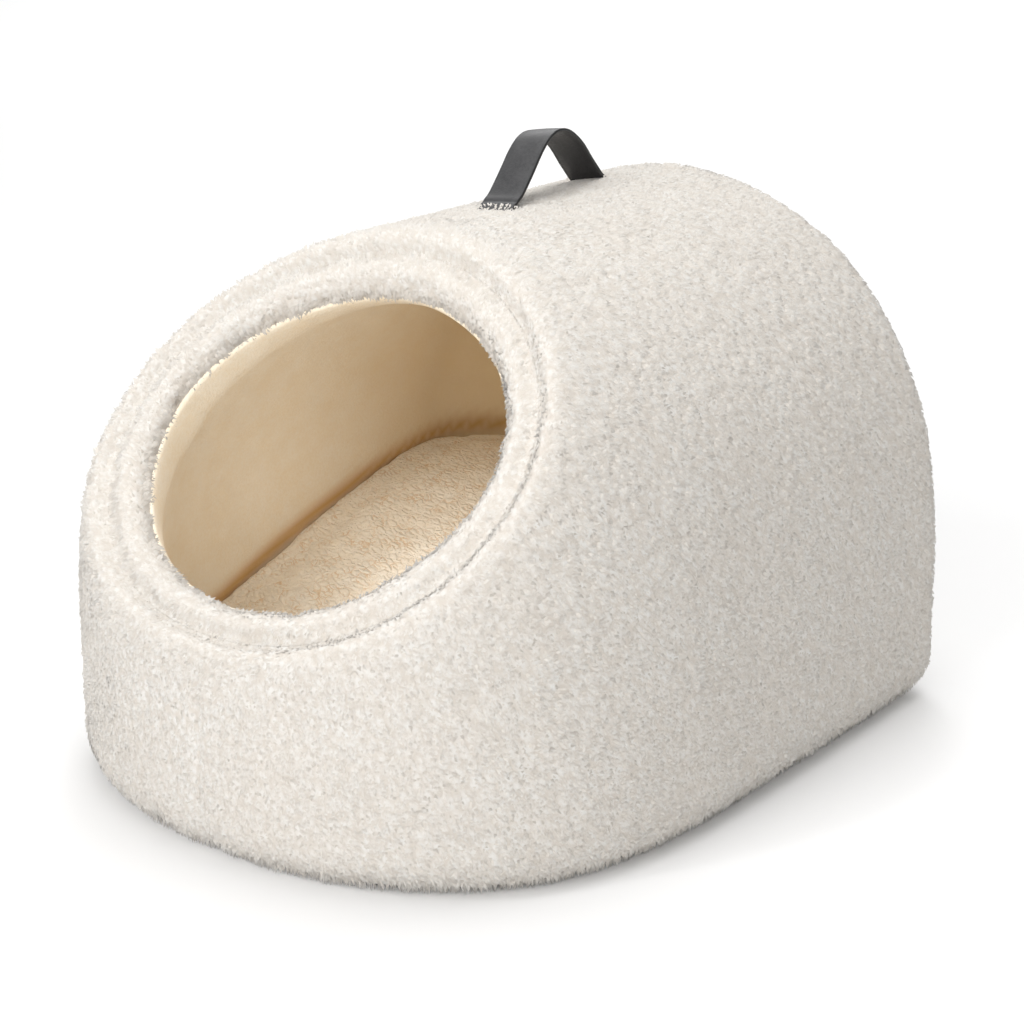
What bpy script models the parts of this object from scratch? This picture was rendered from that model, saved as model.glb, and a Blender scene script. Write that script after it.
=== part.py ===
"""A semi-enclosed cat bed, built the way a sewer makes one.

A padded fleece panel wraps the front, the sides and the top and is cut off at a slant round the mouth.
A crowned panel closes the back. A rolled fleece collar binds the mouth, a smooth lining covers the walls
inside, a thick cushion fills the floor, a dark cloth closes the underside and a leather strap carries it.

Metres, +Z up. The origin is on the floor under the middle of the bed, and the mouth faces -Y.
"""

import math

import bmesh
import bpy
import numpy as np

# The body's outside
LENGTH = 0.500
WIDTH = 0.431
HEIGHT = 0.337
FRONT_Y = -LENGTH / 2
CROWN_Y = LENGTH / 2  # the middle of the back panel
CROWN_Z = 0.45 * HEIGHT
CROWN_FULLNESS = 2.6
SEAM_Y = 0.238  # the seam between the wrap and the back panel
WIDEST_Y = 0.001
BACK_TAPER = 0.025  # the share of the width that is lost at the back seam
NOSE_ALONG = 2.755  # how full the rounded front is, along and across
NOSE_ACROSS = 2.23
ARCH_UP = 3.55  # how full the arch is, up and across
ARCH_ACROSS = 1.86
HEM_ROUND = 0.029  # the padding rolls under to the floor
SEAM_PULL = 0.005  # the padding is drawn in where the back seam runs
SEAM_RUN = 0.014

# The mouth is cut off by a plane that rises towards the back
MOUTH_LOW = 0.1277  # the plane's height at the front
MOUTH_SLOPE = math.atan(0.9404)
MOUTH_HALF = 0.125
MOUTH_UP = 0.107
MOUTH_DOWN = 0.1135
FULLNESS_UP = 1.85
FULLNESS_DOWN = 2.06

# The padding and what lies on it
WALL = 0.041
CORNER_ROUND = 0.045  # inside, where the walls meet the back
LINING_ROUND = 0.052
CUSHION_ROUND = 0.060
BACK_WALL = 0.033
GAP = 0.0004
MITRE_GAP = 0.0006
LINING_GAP = 0.0014
LINING = 0.0025
BASE_CLOTH = 0.003
BASE_INSET = 0.0155
BASE_CORNER = 0.008  # cut off at its back corners
BASE_SIDE_Y = 0.120  # a point along its straight side
FLOOR = BASE_CLOTH + GAP

# The rim: an outer roll that is the wrap's own edge, and the collar sewn inside it
ROLL_DEPTH = 0.020
ROLL_CREST = 0.004
VALLEY_SHARE = 0.45  # of the rim's width, from the outside
VALLEY_DEPTH = 0.004
COLLAR_DEPTH = 0.034
COLLAR_SHOULDER = 0.009  # how deep its inner side is widest
SHOULDER_SHARE = 0.65  # of the crest's height, how far the roll's shoulder lies inside the ridge
DIP_SHARE = 0.75  # of the way from the crest to the valley, where the roll dips

# The cushion
CUSHION_GAP = 0.002
CUSHION_FRONT = 0.062  # its height at the front and at the back
CUSHION_BACK = 0.134
CUSHION_RISE_Y = -0.070  # where it starts to rise
RISE_SOFTNESS = 0.004  # how gently it does
CUSHION_MIDDLE = np.array((0, 0.010))
CUSHION_CROWN = 0.010
TOP_ROUND = 0.012
BOTTOM_ROUND = 0.012
DRAWN_IN = 0.004

# The strap, as seen from above and from its side
STRAP_WIDTH = 0.025
STRAP_THICK = 0.0025
STRAP_FRONT = (-0.015, 0.045)
STRAP_BACK = (-0.037, 0.172)
STRAP_SIDE = (
    # along, rise
    (-0.026, 0.0),
    (-0.010, 0.0),
    (0.003, 0.0004),
    (0.013, 0.0052),
    (0.026, 0.0165),
    (0.039, 0.0285),
    (0.051, 0.0355),
    (0.064, 0.0370),
    (0.077, 0.0335),
    (0.092, 0.0245),
    (0.108, 0.0120),
    (0.120, 0.0036),
    (0.131, 0.0002),
    (0.142, 0.0),
    (0.156, 0.0),
)

# How finely the solids are cut
LOW_SECTIONS = 18  # on each side, from the front's middle to the back corner
HIGH_SECTIONS = 11  # from the back corner to the top's middle
HALVINGS = 40
OUTER_SHARES = np.linspace(0, 1, 8)
HEM_SHARES = np.array((0.30, 0.575, 0.81, 1.0))
INNER_SHARES = np.linspace(0, 1, 10)
BACK_SHARES = np.array((0.06, 0.15, 0.4, 0.7, 1.0))
ROLL_SHARES = np.linspace(0, 1, 5)
CROWN_SHARES = (0.0, 0.35, 0.62, 0.82, 0.9, 0.95, 0.98)
TOP_SHARES = np.array((0, 0.3, 0.6, 0.82))
CUSHION_SECTIONS = 52
FLOOR_SHARES = np.array((0, 0.35, 0.7))  # along the back panel's lower edge
CORNER_SHARES = (0.45, 0.8, 1.0)  # round the room's back corner
COLLAR_TURNS = np.radians((0, 25, 55, 90, 125, 155, 180))
UNDER_SHARES = np.array((0.35, 0.75, 1.0))  # down the collar's inner side
QUARTER_TURNS = np.radians((0, 25, 50, 72, 90))
SHARP_ANGLE = math.radians(40)
TINY = 0.00001

# The mouth's own directions: its middle, up its slope, and out of it
MOUTH_TOP_Y = FRONT_Y + (HEIGHT - MOUTH_LOW) / math.tan(MOUTH_SLOPE)
MIDDLE_Y = (FRONT_Y + MOUTH_TOP_Y) / 2
MIDDLE = np.array((0, MIDDLE_Y, MOUTH_LOW + (MIDDLE_Y - FRONT_Y) * math.tan(MOUTH_SLOPE)))
UP_SLOPE = np.array((0, math.cos(MOUTH_SLOPE), math.sin(MOUTH_SLOPE)))
OUTWARD = np.array((0, -math.sin(MOUTH_SLOPE), math.cos(MOUTH_SLOPE)))
INNER_BACK_Y = SEAM_Y - BACK_WALL


# The form of the bed


def half_width(y, z, inset):
    """Half the body's width at a place along it and a height, for the form drawn in all round by inset."""
    ahead = np.clip((WIDEST_Y - y) / (WIDEST_Y - FRONT_Y - inset), 0, 1)
    behind = np.clip((y - WIDEST_Y) / (SEAM_Y - WIDEST_Y), 0, 1)
    rise = np.clip(z / (HEIGHT - inset), 0, 1)
    plan = (1 - ahead**NOSE_ALONG) ** (1 / NOSE_ACROSS) - BACK_TAPER * behind**2
    return (WIDTH / 2 - inset) * plan * (1 - rise**ARCH_UP) ** (1 / ARCH_ACROSS)


def top_height(x, y):
    """The height of the body's top over a point."""
    return HEIGHT * (1 - np.abs(x / half_width(y, 0, 0)) ** ARCH_ACROSS) ** (1 / ARCH_UP)


def quarter_drop(past, radius):
    """How far a quarter circle has fallen away at a distance past its start."""
    return radius - np.sqrt(radius**2 - np.clip(past, 0, radius) ** 2)


def outer_inset(y, z):
    """The outside is drawn in at the hem and at the back seam."""
    seam = SEAM_PULL * np.clip((y - SEAM_Y) / SEAM_RUN + 1, 0, 1) ** 2
    return quarter_drop(HEM_ROUND - z, HEM_ROUND) + seam


def room_inset(extra, corner):
    """The inside of the padding, drawn in by extra, with the back corners rounded."""
    start = INNER_BACK_Y - extra - corner

    def inset(y, z):
        return WALL + extra + quarter_drop(y - start, corner) + 0 * z

    return inset


def seam_y(z):
    """The back seam's place along the bed, drawn in near the floor as the hem is."""
    return SEAM_Y - quarter_drop(HEM_ROUND - z, HEM_ROUND)


def halve(holds, near, far):
    """The largest value up to which a test holds, for a whole array at once."""
    for _ in range(HALVINGS):
        half = (near + far) / 2
        kept = holds(half)
        near = np.where(kept, half, near)
        far = np.where(kept, far, half)
    return near


def edge_of(start, direction, inset, back_y=1.0):
    """Where lines from inside the form drawn in by inset leave it."""

    def inside(distance):
        x, y, z = np.moveaxis(start + distance[..., None] * direction, -1, 0)
        return (np.abs(x) < half_width(y, z, inset(y, z))) & (y < back_y)

    shape = np.broadcast_shapes(np.shape(start), np.shape(direction))[:-1]
    distance = halve(inside, np.full(shape, 0.01), np.full(shape, 0.65))
    return start + distance[..., None] * direction


def turned(angle):
    """The direction of each half plane round the mouth's axis, from +X towards the slope's top."""
    angle = np.asarray(angle)[..., None]
    return np.cos(angle) * np.array((1.0, 0, 0)) + np.sin(angle) * UP_SLOPE


def place(angle, out, depth):
    """Points in the mouth's half planes, out from its axis and deep below its slope."""
    return MIDDLE + np.asarray(out)[..., None] * turned(angle) + np.asarray(depth)[..., None] * OUTWARD


def surface(angle, depth, inset, back_y=1.0):
    """Points of the form drawn in by inset, in half planes and at depths."""
    depth = np.asarray(depth)
    return edge_of(MIDDLE + depth[..., None] * OUTWARD, turned(angle), inset, back_y)


def reach(angle, depth, inset):
    """How far the form drawn in by inset lies from the mouth's axis."""
    points = surface(angle, depth, inset)
    return ((points - MIDDLE) * turned(angle)).sum(axis=-1)


def end_depth(angle, inset, low_z, stop_y, back_y=1.0):
    """How deep a form runs in each half plane before it meets a height or a place along the bed."""

    def going(fall):
        _, y, z = np.moveaxis(surface(angle, -fall, inset, back_y), -1, 0)
        return (z > low_z) & (y < stop_y(z))

    return -halve(going, np.full(np.shape(angle), 0.02), np.full(np.shape(angle), 0.60))


def spread(start, end, shares):
    """Values from start to end, a row for each pair and a column for each share."""
    return start[:, None] + (end - start)[:, None] * shares


def anywhere(z):
    """No stop along the bed."""
    return 1.0 + 0 * z


def corner_angle():
    """The half plane in which the back seam meets the floor."""

    def before(angle):
        depth = end_depth(angle, outer_inset, FLOOR, anywhere)
        return surface(angle, depth, outer_inset)[..., 1] < seam_y(FLOOR)

    return float(halve(before, np.array(0.0), np.array(math.pi / 2)))


def mouth_reach(angle):
    """The mouth's oval: two half ovals, fuller below than above, that share their width."""
    across, along = np.cos(angle), np.sin(angle)
    fullness = np.where(along > 0, FULLNESS_UP, FULLNESS_DOWN)
    height = np.where(along > 0, MOUTH_UP, MOUTH_DOWN)
    total = np.abs(across / MOUTH_HALF) ** fullness + np.abs(along / height) ** fullness
    return total ** (-1 / fullness)


def valley_reach(angle):
    """The valley between the wrap's edge and the collar."""
    outside = reach(angle, 0 * angle, outer_inset)
    return outside - VALLEY_SHARE * (outside - mouth_reach(angle))


# The half planes of one side: from the front's middle over the back corner to the top's middle
CORNER = corner_angle()
LOW_ANGLES = np.linspace(-math.pi / 2, CORNER, LOW_SECTIONS + 1)
HIGH_ANGLES = np.linspace(CORNER, math.pi / 2, HIGH_SECTIONS + 1)
SIDE_ANGLES = np.concatenate((LOW_ANGLES, HIGH_ANGLES[1:]))
PADDING_ROOM = room_inset(0, CORNER_ROUND)
MITRE_Y = float(surface(CORNER, end_depth(np.array(CORNER), PADDING_ROOM, FLOOR, anywhere), PADDING_ROOM)[1])


def mitre_y(z):
    """Where the wrap's inner face meets the back panel."""
    return MITRE_Y + 0 * z


# Meshes


def material(name, colour, roughness):
    """A plain Principled material."""
    made = bpy.data.materials.new(name)
    made.use_nodes = True
    shader = made.node_tree.nodes["Principled BSDF"]
    shader.inputs["Base Color"].default_value = (*colour, 1)
    shader.inputs["Roughness"].default_value = roughness
    shader.inputs["Metallic"].default_value = 0
    return made


def finished(name, data, cloth, bed):
    """One named object of a mesh or a curve, in the bed's collection."""
    data.materials.append(cloth)
    piece = bpy.data.objects.new(name, data)
    bed.objects.link(piece)
    return piece


def grid_mesh(name, points, ring=False, closed=True):
    """Four-sided faces on a grid of points, whose columns, and rows if it is a ring, join end to end."""
    rows, columns = points.shape[:2]
    index = np.arange(rows * columns).reshape(rows, columns)
    if ring:
        index = np.vstack((index, index[:1]))
    if closed:
        index = np.hstack((index, index[:, :1]))
    corners = (index[:-1, :-1], index[1:, :-1], index[1:, 1:], index[:-1, 1:])
    faces = np.stack(corners, axis=-1).reshape(-1, 4)
    data = bpy.data.meshes.new(name)
    data.from_pydata(points.reshape(-1, 3).tolist(), [], faces.tolist())
    shaped = bmesh.new()
    shaped.from_mesh(data)
    bmesh.ops.remove_doubles(shaped, verts=shaped.verts, dist=TINY)
    if closed:
        bmesh.ops.recalc_face_normals(shaped, faces=shaped.faces)
    shaped.to_mesh(data)
    shaped.free()
    data.shade_smooth()
    data.set_sharp_from_angle(angle=SHARP_ANGLE)
    return data


def mirror(piece):
    """The piece's other half, across the bed's middle."""
    twin = piece.modifiers.new("other half", "MIRROR")
    twin.use_axis = (True, False, False)
    twin.merge_threshold = 0.0001


def thicken(piece, thickness):
    """A sheet's thickness, on the side that its faces look to."""
    skin = piece.modifiers.new("thickness", "SOLIDIFY")
    skin.thickness = thickness
    skin.offset = 1
    skin.use_even_offset = True


# The pieces


def wrap_ends(angles):
    """The wrap's two edges away from the mouth: outside and inside, on the floor or at the mitre."""
    outer_end = end_depth(angles, outer_inset, FLOOR, seam_y)
    inner_end = end_depth(angles, PADDING_ROOM, FLOOR, mitre_y)
    outside = surface(angles, outer_end, outer_inset)
    inside = surface(angles, inner_end, PADDING_ROOM)
    return outer_end, inner_end, outside, inside


def make_wrap(fleece, bed):
    """The padded panel round the front, sides and top, lofted through the half planes of one side."""
    angles = SIDE_ANGLES
    column = angles[:, None]
    outer_end, inner_end, _, _ = wrap_ends(angles)
    round_start = end_depth(angles, outer_inset, HEM_ROUND, lambda z: SEAM_Y - SEAM_RUN + 0 * z)
    top = np.full(angles.shape, -ROLL_DEPTH)
    ledge = np.full(angles.shape, -COLLAR_DEPTH - GAP)
    outside = surface(column, spread(top, round_start, OUTER_SHARES), outer_inset)
    hem = surface(column, spread(round_start, outer_end, HEM_SHARES), outer_inset)
    inside = surface(column, spread(ledge, inner_end, INNER_SHARES), PADDING_ROOM)
    ridge = reach(angles, 0 * angles, outer_inset)
    valley = valley_reach(angles)
    crest = (ridge + valley) / 2
    shoulder = place(angles, ridge - SHOULDER_SHARE * ROLL_CREST, np.full(angles.shape, ROLL_CREST))
    summit = place(angles, crest, np.full(angles.shape, ROLL_CREST))
    foot = outside[:, 0]
    share = ROLL_SHARES[1:, None, None]
    roll = (1 - share) ** 2 * foot + 2 * share * (1 - share) * shoulder + share**2 * summit
    dip_out = (1 - DIP_SHARE) * crest + DIP_SHARE * valley
    dip = place(angles, dip_out, np.full(angles.shape, (ROLL_CREST - VALLEY_DEPTH) / 2))
    bottom = place(angles, valley, np.full(angles.shape, -VALLEY_DEPTH))
    rebate = place(angles, valley, ledge)
    rows = np.concatenate(
        (
            inside[:, ::-1],
            rebate[:, None],
            bottom[:, None],
            dip[:, None],
            np.moveaxis(roll, 0, 1)[:, ::-1],
            outside,
            hem,
        ),
        axis=1,
    )
    piece = finished("arch_wall", grid_mesh("arch_wall", rows), fleece, bed)
    mirror(piece)


def make_back(fleece, bed):
    """The padded back panel: crowned outside, mitred to the wrap, flat inside with rounded corners."""
    _, _, outer_edge, inner_edge = wrap_ends(HIGH_ANGLES)
    behind = np.array((0, MITRE_GAP, 0))
    outer_edge = outer_edge + behind
    inner_edge = inner_edge + behind
    flat_y = INNER_BACK_Y + MITRE_GAP
    shares = FLOOR_SHARES[:, None]
    outer_floor = outer_edge[0] * np.array((0, 1, 1)) + shares * outer_edge[0] * np.array((1, 0, 0))
    outer_row = np.vstack((outer_floor, outer_edge))
    middle = np.array((0, CROWN_Y, CROWN_Z))
    outer_rows = []
    for share in CROWN_SHARES:
        row = middle + share * (outer_row - middle)
        row[:, 1] = seam_y(row[:, 2]) + (CROWN_Y - SEAM_Y) * (1 - share**CROWN_FULLNESS)
        outer_rows.append(row)
    outer_rows.append(outer_row)
    inner_rows = [np.vstack((np.zeros((3, 3)), inner_edge))]
    across = inner_edge * np.array((1, 0, 1)) - np.array((0, 0, FLOOR))
    across /= np.linalg.norm(across, axis=1)[:, None]
    for share in CORNER_SHARES:
        y = MITRE_Y + share * (INNER_BACK_Y - MITRE_Y) - TINY
        ring = edge_of(np.array((0, y, FLOOR)), across, PADDING_ROOM) + behind
        inner_rows.append(np.vstack((np.zeros((3, 3)), ring)))
    flat_edge = inner_rows[-1][3]
    for row in inner_rows:
        row[:3] = flat_edge * np.array((0, 0, 1)) + shares * flat_edge * np.array((1, 0, 0))
        row[:3, 1] = flat_y
    hub = np.tile(np.array((0, flat_y, FLOOR)), (len(outer_row), 1))
    rows = np.stack((*outer_rows, *inner_rows, hub))
    piece = finished("back_wall", grid_mesh("back_wall", rows.swapaxes(0, 1), closed=False), fleece, bed)
    mirror(piece)


def make_collar(fleece, bed):
    """The rolled collar that binds the mouth, one section carried all the way round."""
    angles = np.concatenate((SIDE_ANGLES, math.pi - SIDE_ANGLES[-2:0:-1]))
    outside = valley_reach(angles) - GAP
    mouth = mouth_reach(angles)
    inset = room_inset(LINING_GAP + LINING + GAP, LINING_ROUND)
    seat = reach(angles, np.full(angles.shape, -COLLAR_DEPTH), inset)
    across = (outside + mouth)[:, None] / 2 + (outside - mouth)[:, None] / 2 * np.cos(COLLAR_TURNS)
    start = -VALLEY_DEPTH + (VALLEY_DEPTH - COLLAR_SHOULDER) * (1 - np.cos(COLLAR_TURNS)) / 2
    depth = np.tile(start + (ROLL_CREST - start) * np.sin(COLLAR_TURNS), (len(angles), 1))
    inner = spread(mouth, seat, UNDER_SHARES**2)
    fall = (COLLAR_SHOULDER - COLLAR_DEPTH) * UNDER_SHARES
    inner_depth = np.tile(-COLLAR_SHOULDER + fall, (len(angles), 1))
    out = np.hstack((across, inner, outside[:, None]))
    down = np.hstack((depth, inner_depth, np.full((len(angles), 1), -COLLAR_DEPTH)))
    rows = place(angles[:, None], out, down)
    finished("rim_collar", grid_mesh("rim_collar", rows, ring=True), fleece, bed)


def make_lining(velour, bed):
    """The lining: a sheet on the padding's inner face, from the collar to the floor and across the back."""
    inset = room_inset(LINING_GAP, LINING_ROUND)
    back_y = INNER_BACK_Y - LINING_GAP
    top = np.full(SIDE_ANGLES.shape, -COLLAR_DEPTH - 2 * GAP)
    end = end_depth(SIDE_ANGLES, inset, FLOOR + GAP, anywhere, back_y)
    mitre = np.maximum(end_depth(SIDE_ANGLES, PADDING_ROOM, FLOOR, mitre_y), end)
    depths = np.hstack((spread(top, mitre, INNER_SHARES), spread(mitre, end, BACK_SHARES)))
    sheet = surface(SIDE_ANGLES[:, None], depths, inset, back_y)
    piece = finished("lining", grid_mesh("lining", sheet, closed=False), velour, bed)
    mirror(piece)
    thicken(piece, LINING)


def cushion_height(y):
    """The cushion's top rises in one soft sweep to the back."""
    along = (y - CUSHION_RISE_Y) / (INNER_BACK_Y - CUSHION_RISE_Y)
    along = np.clip((along + np.sqrt(along**2 + RISE_SOFTNESS)) / 2, 0, 1)
    return CUSHION_FRONT + (CUSHION_BACK - CUSHION_FRONT) * np.sin(along * math.pi / 2)


def cushion_size(turn, across):
    """How far the cushion reaches from its middle in each direction: to the lining, drawn in at its sides."""
    extra = LINING_GAP + LINING + CUSHION_GAP
    inset = room_inset(extra, CUSHION_ROUND)

    def inside(distance):
        x, y = np.moveaxis(CUSHION_MIDDLE + distance[:, None] * across, -1, 0)
        z = cushion_height(y)
        return (np.abs(x) < half_width(y, z, inset(y, z))) & (y < INNER_BACK_Y - extra)

    size = halve(inside, np.full(turn.shape, 0.01), np.full(turn.shape, 0.4))
    return size - DRAWN_IN * np.cos(2 * turn) ** 2


def make_cushion(plush, bed):
    """The cushion: a crowned top, rounded edges and sides drawn in between the corners."""
    turn = np.linspace(0, 2 * math.pi, CUSHION_SECTIONS, endpoint=False)
    across = np.stack((np.cos(turn), np.sin(turn)), axis=-1)
    size = cushion_size(turn, across)[:, None]
    top_out = TOP_SHARES * (size - TOP_ROUND)
    edge_out = size - TOP_ROUND * (1 - np.sin(QUARTER_TURNS))
    low_out = size - BOTTOM_ROUND * (1 - np.cos(QUARTER_TURNS[1:]))
    radius = np.hstack((top_out, edge_out, low_out, 0 * size))
    points = CUSHION_MIDDLE + radius[..., None] * across[:, None]
    top_count = len(TOP_SHARES) + len(QUARTER_TURNS)
    drop = np.zeros(top_count)
    drop[-len(QUARTER_TURNS) :] = TOP_ROUND * (1 - np.cos(QUARTER_TURNS))
    crown = CUSHION_CROWN * (1 - (radius / size) ** 2)
    z = cushion_height(points[..., 1]) + crown
    z[:, :top_count] -= drop
    z[:, top_count:] = FLOOR + np.append(BOTTOM_ROUND * (1 - np.sin(QUARTER_TURNS[1:])), 0)
    rows = np.concatenate((points, z[..., None]), axis=-1)
    finished("cushion", grid_mesh("cushion", rows, ring=True), plush, bed)


def make_base_cloth(canvas, bed):
    """The flat cloth under the bed, cut to the hem's line."""
    share = np.linspace(0, math.pi / 2, 22)
    back = seam_y(FLOOR)
    front = FRONT_Y + BASE_INSET
    y = np.concatenate((WIDEST_Y - (WIDEST_Y - front) * np.cos(share), (BASE_SIDE_Y, back - BASE_CORNER)))
    x = half_width(y, 0, BASE_INSET)
    side = np.stack((x, y), axis=-1)
    corner = np.array(((side[-1, 0] - BASE_CORNER, back),))
    side = np.vstack((side, corner))
    outline = np.vstack((side, side[:0:-1] * np.array((-1, 1))))
    curve = bpy.data.curves.new("base_cloth", "CURVE")
    curve.dimensions = "2D"
    curve.fill_mode = "BOTH"
    curve.extrude = BASE_CLOTH / 2
    spline = curve.splines.new("POLY")
    spline.points.add(len(outline) - 1)
    spline.use_cyclic_u = True
    for point, (px, py) in zip(spline.points, outline):
        point.co = (px, py, 0, 1)
    piece = finished("base_cloth", curve, canvas, bed)
    piece.location.z = BASE_CLOTH / 2


def smooth_through(points, steps):
    """A smooth curve through points: each stretch is a cubic that keeps the slope of its neighbours."""
    points = np.array(points)
    padded = np.vstack((2 * points[0] - points[1], points, 2 * points[-1] - points[-2]))
    share = np.linspace(0, 1, steps, endpoint=False)[:, None]
    stretches = []
    for before, start, end, after in zip(padded, padded[1:], padded[2:], padded[3:]):
        bend = 2 * before - 5 * start + 4 * end - after
        twist = 3 * start - before - 3 * end + after
        stretches.append(start + 0.5 * share * (end - before + share * (bend + share * twist)))
    return np.vstack((*stretches, points[-1]))


def make_handle(leather, bed):
    """The strap: a sheet on the top's own curve, raised along its middle for a hand."""
    side = smooth_through(STRAP_SIDE, 3)
    front, back = np.array(STRAP_FRONT), np.array(STRAP_BACK)
    along = (back - front) / np.linalg.norm(back - front)
    across = np.array((along[1], -along[0]))
    width = np.linspace(-STRAP_WIDTH / 2, STRAP_WIDTH / 2, 5)
    plan = front + side[:, None, :1] * along + width[None, :, None] * across
    z = top_height(plan[..., 0], plan[..., 1]) + side[:, 1:] + GAP
    sheet = np.concatenate((plan, z[..., None]), axis=-1)
    piece = finished("handle", grid_mesh("handle", sheet[:, ::-1], closed=False), leather, bed)
    thicken(piece, STRAP_THICK)


def main():
    for old in list(bpy.data.objects):
        bpy.data.objects.remove(old)
    bed = bpy.data.collections.new("cat_bed")
    bpy.context.scene.collection.children.link(bed)
    fleece = material("cream fleece", (0.87, 0.83, 0.76), 0.95)
    make_wrap(fleece, bed)
    make_back(fleece, bed)
    make_collar(fleece, bed)
    make_lining(material("beige velour", (0.72, 0.55, 0.36), 0.85), bed)
    make_cushion(material("peach plush", (0.83, 0.66, 0.48), 0.92), bed)
    make_base_cloth(material("dark canvas", (0.06, 0.06, 0.07), 0.8), bed)
    make_handle(material("black leather", (0.03, 0.03, 0.035), 0.45), bed)


main()
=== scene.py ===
"""The looks of a semi-enclosed cat bed: curly fleece outside, smooth velour and a plush cushion inside, and
a leather strap. Metres, +Z up, the mouth faces -Y."""

import math

import bmesh
import bpy
import numpy as np
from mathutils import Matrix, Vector

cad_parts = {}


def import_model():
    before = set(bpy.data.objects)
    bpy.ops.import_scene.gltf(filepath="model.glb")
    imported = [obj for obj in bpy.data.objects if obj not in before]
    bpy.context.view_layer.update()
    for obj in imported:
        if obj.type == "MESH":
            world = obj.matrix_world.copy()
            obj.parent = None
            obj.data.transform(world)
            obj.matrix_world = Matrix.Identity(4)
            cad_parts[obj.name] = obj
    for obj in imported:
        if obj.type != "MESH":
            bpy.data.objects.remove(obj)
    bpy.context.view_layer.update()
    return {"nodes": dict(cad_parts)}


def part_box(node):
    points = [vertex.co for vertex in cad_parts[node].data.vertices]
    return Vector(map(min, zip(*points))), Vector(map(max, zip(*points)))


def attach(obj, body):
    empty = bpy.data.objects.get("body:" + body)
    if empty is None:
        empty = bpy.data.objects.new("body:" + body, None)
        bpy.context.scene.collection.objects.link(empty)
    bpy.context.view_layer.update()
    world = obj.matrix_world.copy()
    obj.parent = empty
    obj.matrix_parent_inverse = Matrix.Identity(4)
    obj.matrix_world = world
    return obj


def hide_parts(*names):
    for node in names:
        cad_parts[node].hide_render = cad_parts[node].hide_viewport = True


bl_info = {
    "name": "Fleece cat bed",
    "version": (1, 0, 0),
    "blender": (4, 5, 0),
    "location": "3D View > Sidebar > Cat bed",
    "description": "Builds a padded fleece cat bed round its packed solids",
    "category": "Add Mesh",
}

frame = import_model()

# The body's form, as the solids have it
WRAP_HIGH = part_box("arch_wall")[1]
BACK_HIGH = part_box("back_wall")[1]
BASE_LOW, BASE_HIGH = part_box("base_cloth")
HALF_WIDTH = WRAP_HIGH.x
HEIGHT = 0.337
FRONT_Y = -0.250
SEAM_Y = 0.238
CROWN_Y = BACK_HIGH.y
WIDEST_Y = 0.001
BACK_TAPER = 0.025
NOSE_ALONG = 2.755
NOSE_ACROSS = 2.23
ARCH_UP = 3.55
ARCH_ACROSS = 1.86
HEM_ROUND = 0.029
SEAM_PULL = 0.005
SEAM_RUN = 0.014
CROWN_FULLNESS = 2.6
FLOOR = BASE_HIGH.z + 0.0004
HEM_END = 0.0025
HEM_TURN = 1.08  # how far round its quarter circle the hem's rows are spaced, in radians
BASE_INSET = 0.024
BASE_CORNER = 0.008

# The mouth and its rim
MOUTH_LOW = 0.1277
MOUTH_SLOPE = math.atan(0.9404)
MOUTH_HALF = 0.125
MOUTH_UP = 0.107
MOUTH_DOWN = 0.1135
FULLNESS_UP = 1.85
FULLNESS_DOWN = 2.06
ROLL_DEPTH = 0.020
ROLL_CREST = 0.004
VALLEY_SHARE = 0.45
VALLEY_FLOOR = -0.0016  # the depth of the skins' valley
SKIN_SHARE = 0.8  # the share of the pile's root by which the rim's skins are drawn in
JOINT = 0.0001
JOINT_FADE = 0.004
COLLAR_DEPTH = 0.034
COLLAR_SHOULDER = 0.009
COLLAR_SHOWN = 30  # the rows of the collar that carry pile
COLLAR_EDGE = slice(22, 30)  # the rows at its inner edge, where the pile is denser
EDGE_PITCH = 0.0015
LINING_EDGE = -0.0095  # the depth at which the lining starts

# The padding's inner face and what lies on it
WALL = 0.041
CORNER_ROUND = 0.045
LINING_ROUND = 0.052
INNER_BACK_Y = SEAM_Y - 0.033
GAP = 0.0004
LINING_GAP = 0.0014
LINING = 0.0025
LINING_MIDDLE = 0.0015  # half the lining and a little play, from the padding to its middle
LINING_SKIN = 0.0012
LINING_LET_IN = 0.0008  # from the collar's underside to the lining's middle
LINING_ROWS = 28  # the rows over which the lining hangs taut
TAUT_PASSES = 60
INSIDE_END_Y = 0.193
PADDING_FOOT = FLOOR + 0.001
BACK_PLAY = 0.0006
HALVINGS = 34
CUSHION_FRONT = 0.062
CUSHION_BACK = 0.134
CUSHION_RISE_Y = -0.070
CUSHION_EDGE = 0.012
TIGHT_EDGE = 0.005
WALL_GAP = 0.0012
PUFF_ROOM = 0.0035  # how far the cushion is shrunk before it is puffed
PUFF_LIMIT = 0.004
PUFF_PRESSURE = 4.0
PUFF_STEPS = 20
PUFF_VOXEL = 0.0055
MERGE = 0.00001

# The mouth's own directions
MOUTH_TOP_Y = FRONT_Y + (HEIGHT - MOUTH_LOW) / math.tan(MOUTH_SLOPE)
MIDDLE_Y = (FRONT_Y + MOUTH_TOP_Y) / 2
MIDDLE = np.array((0, MIDDLE_Y, MOUTH_LOW + (MIDDLE_Y - FRONT_Y) * math.tan(MOUTH_SLOPE)))
UP_SLOPE = np.array((0, math.cos(MOUTH_SLOPE), math.sin(MOUTH_SLOPE)))
OUTWARD = np.array((0, -math.sin(MOUTH_SLOPE), math.cos(MOUTH_SLOPE)))
ACROSS = np.array((1.0, 0, 0))

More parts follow.
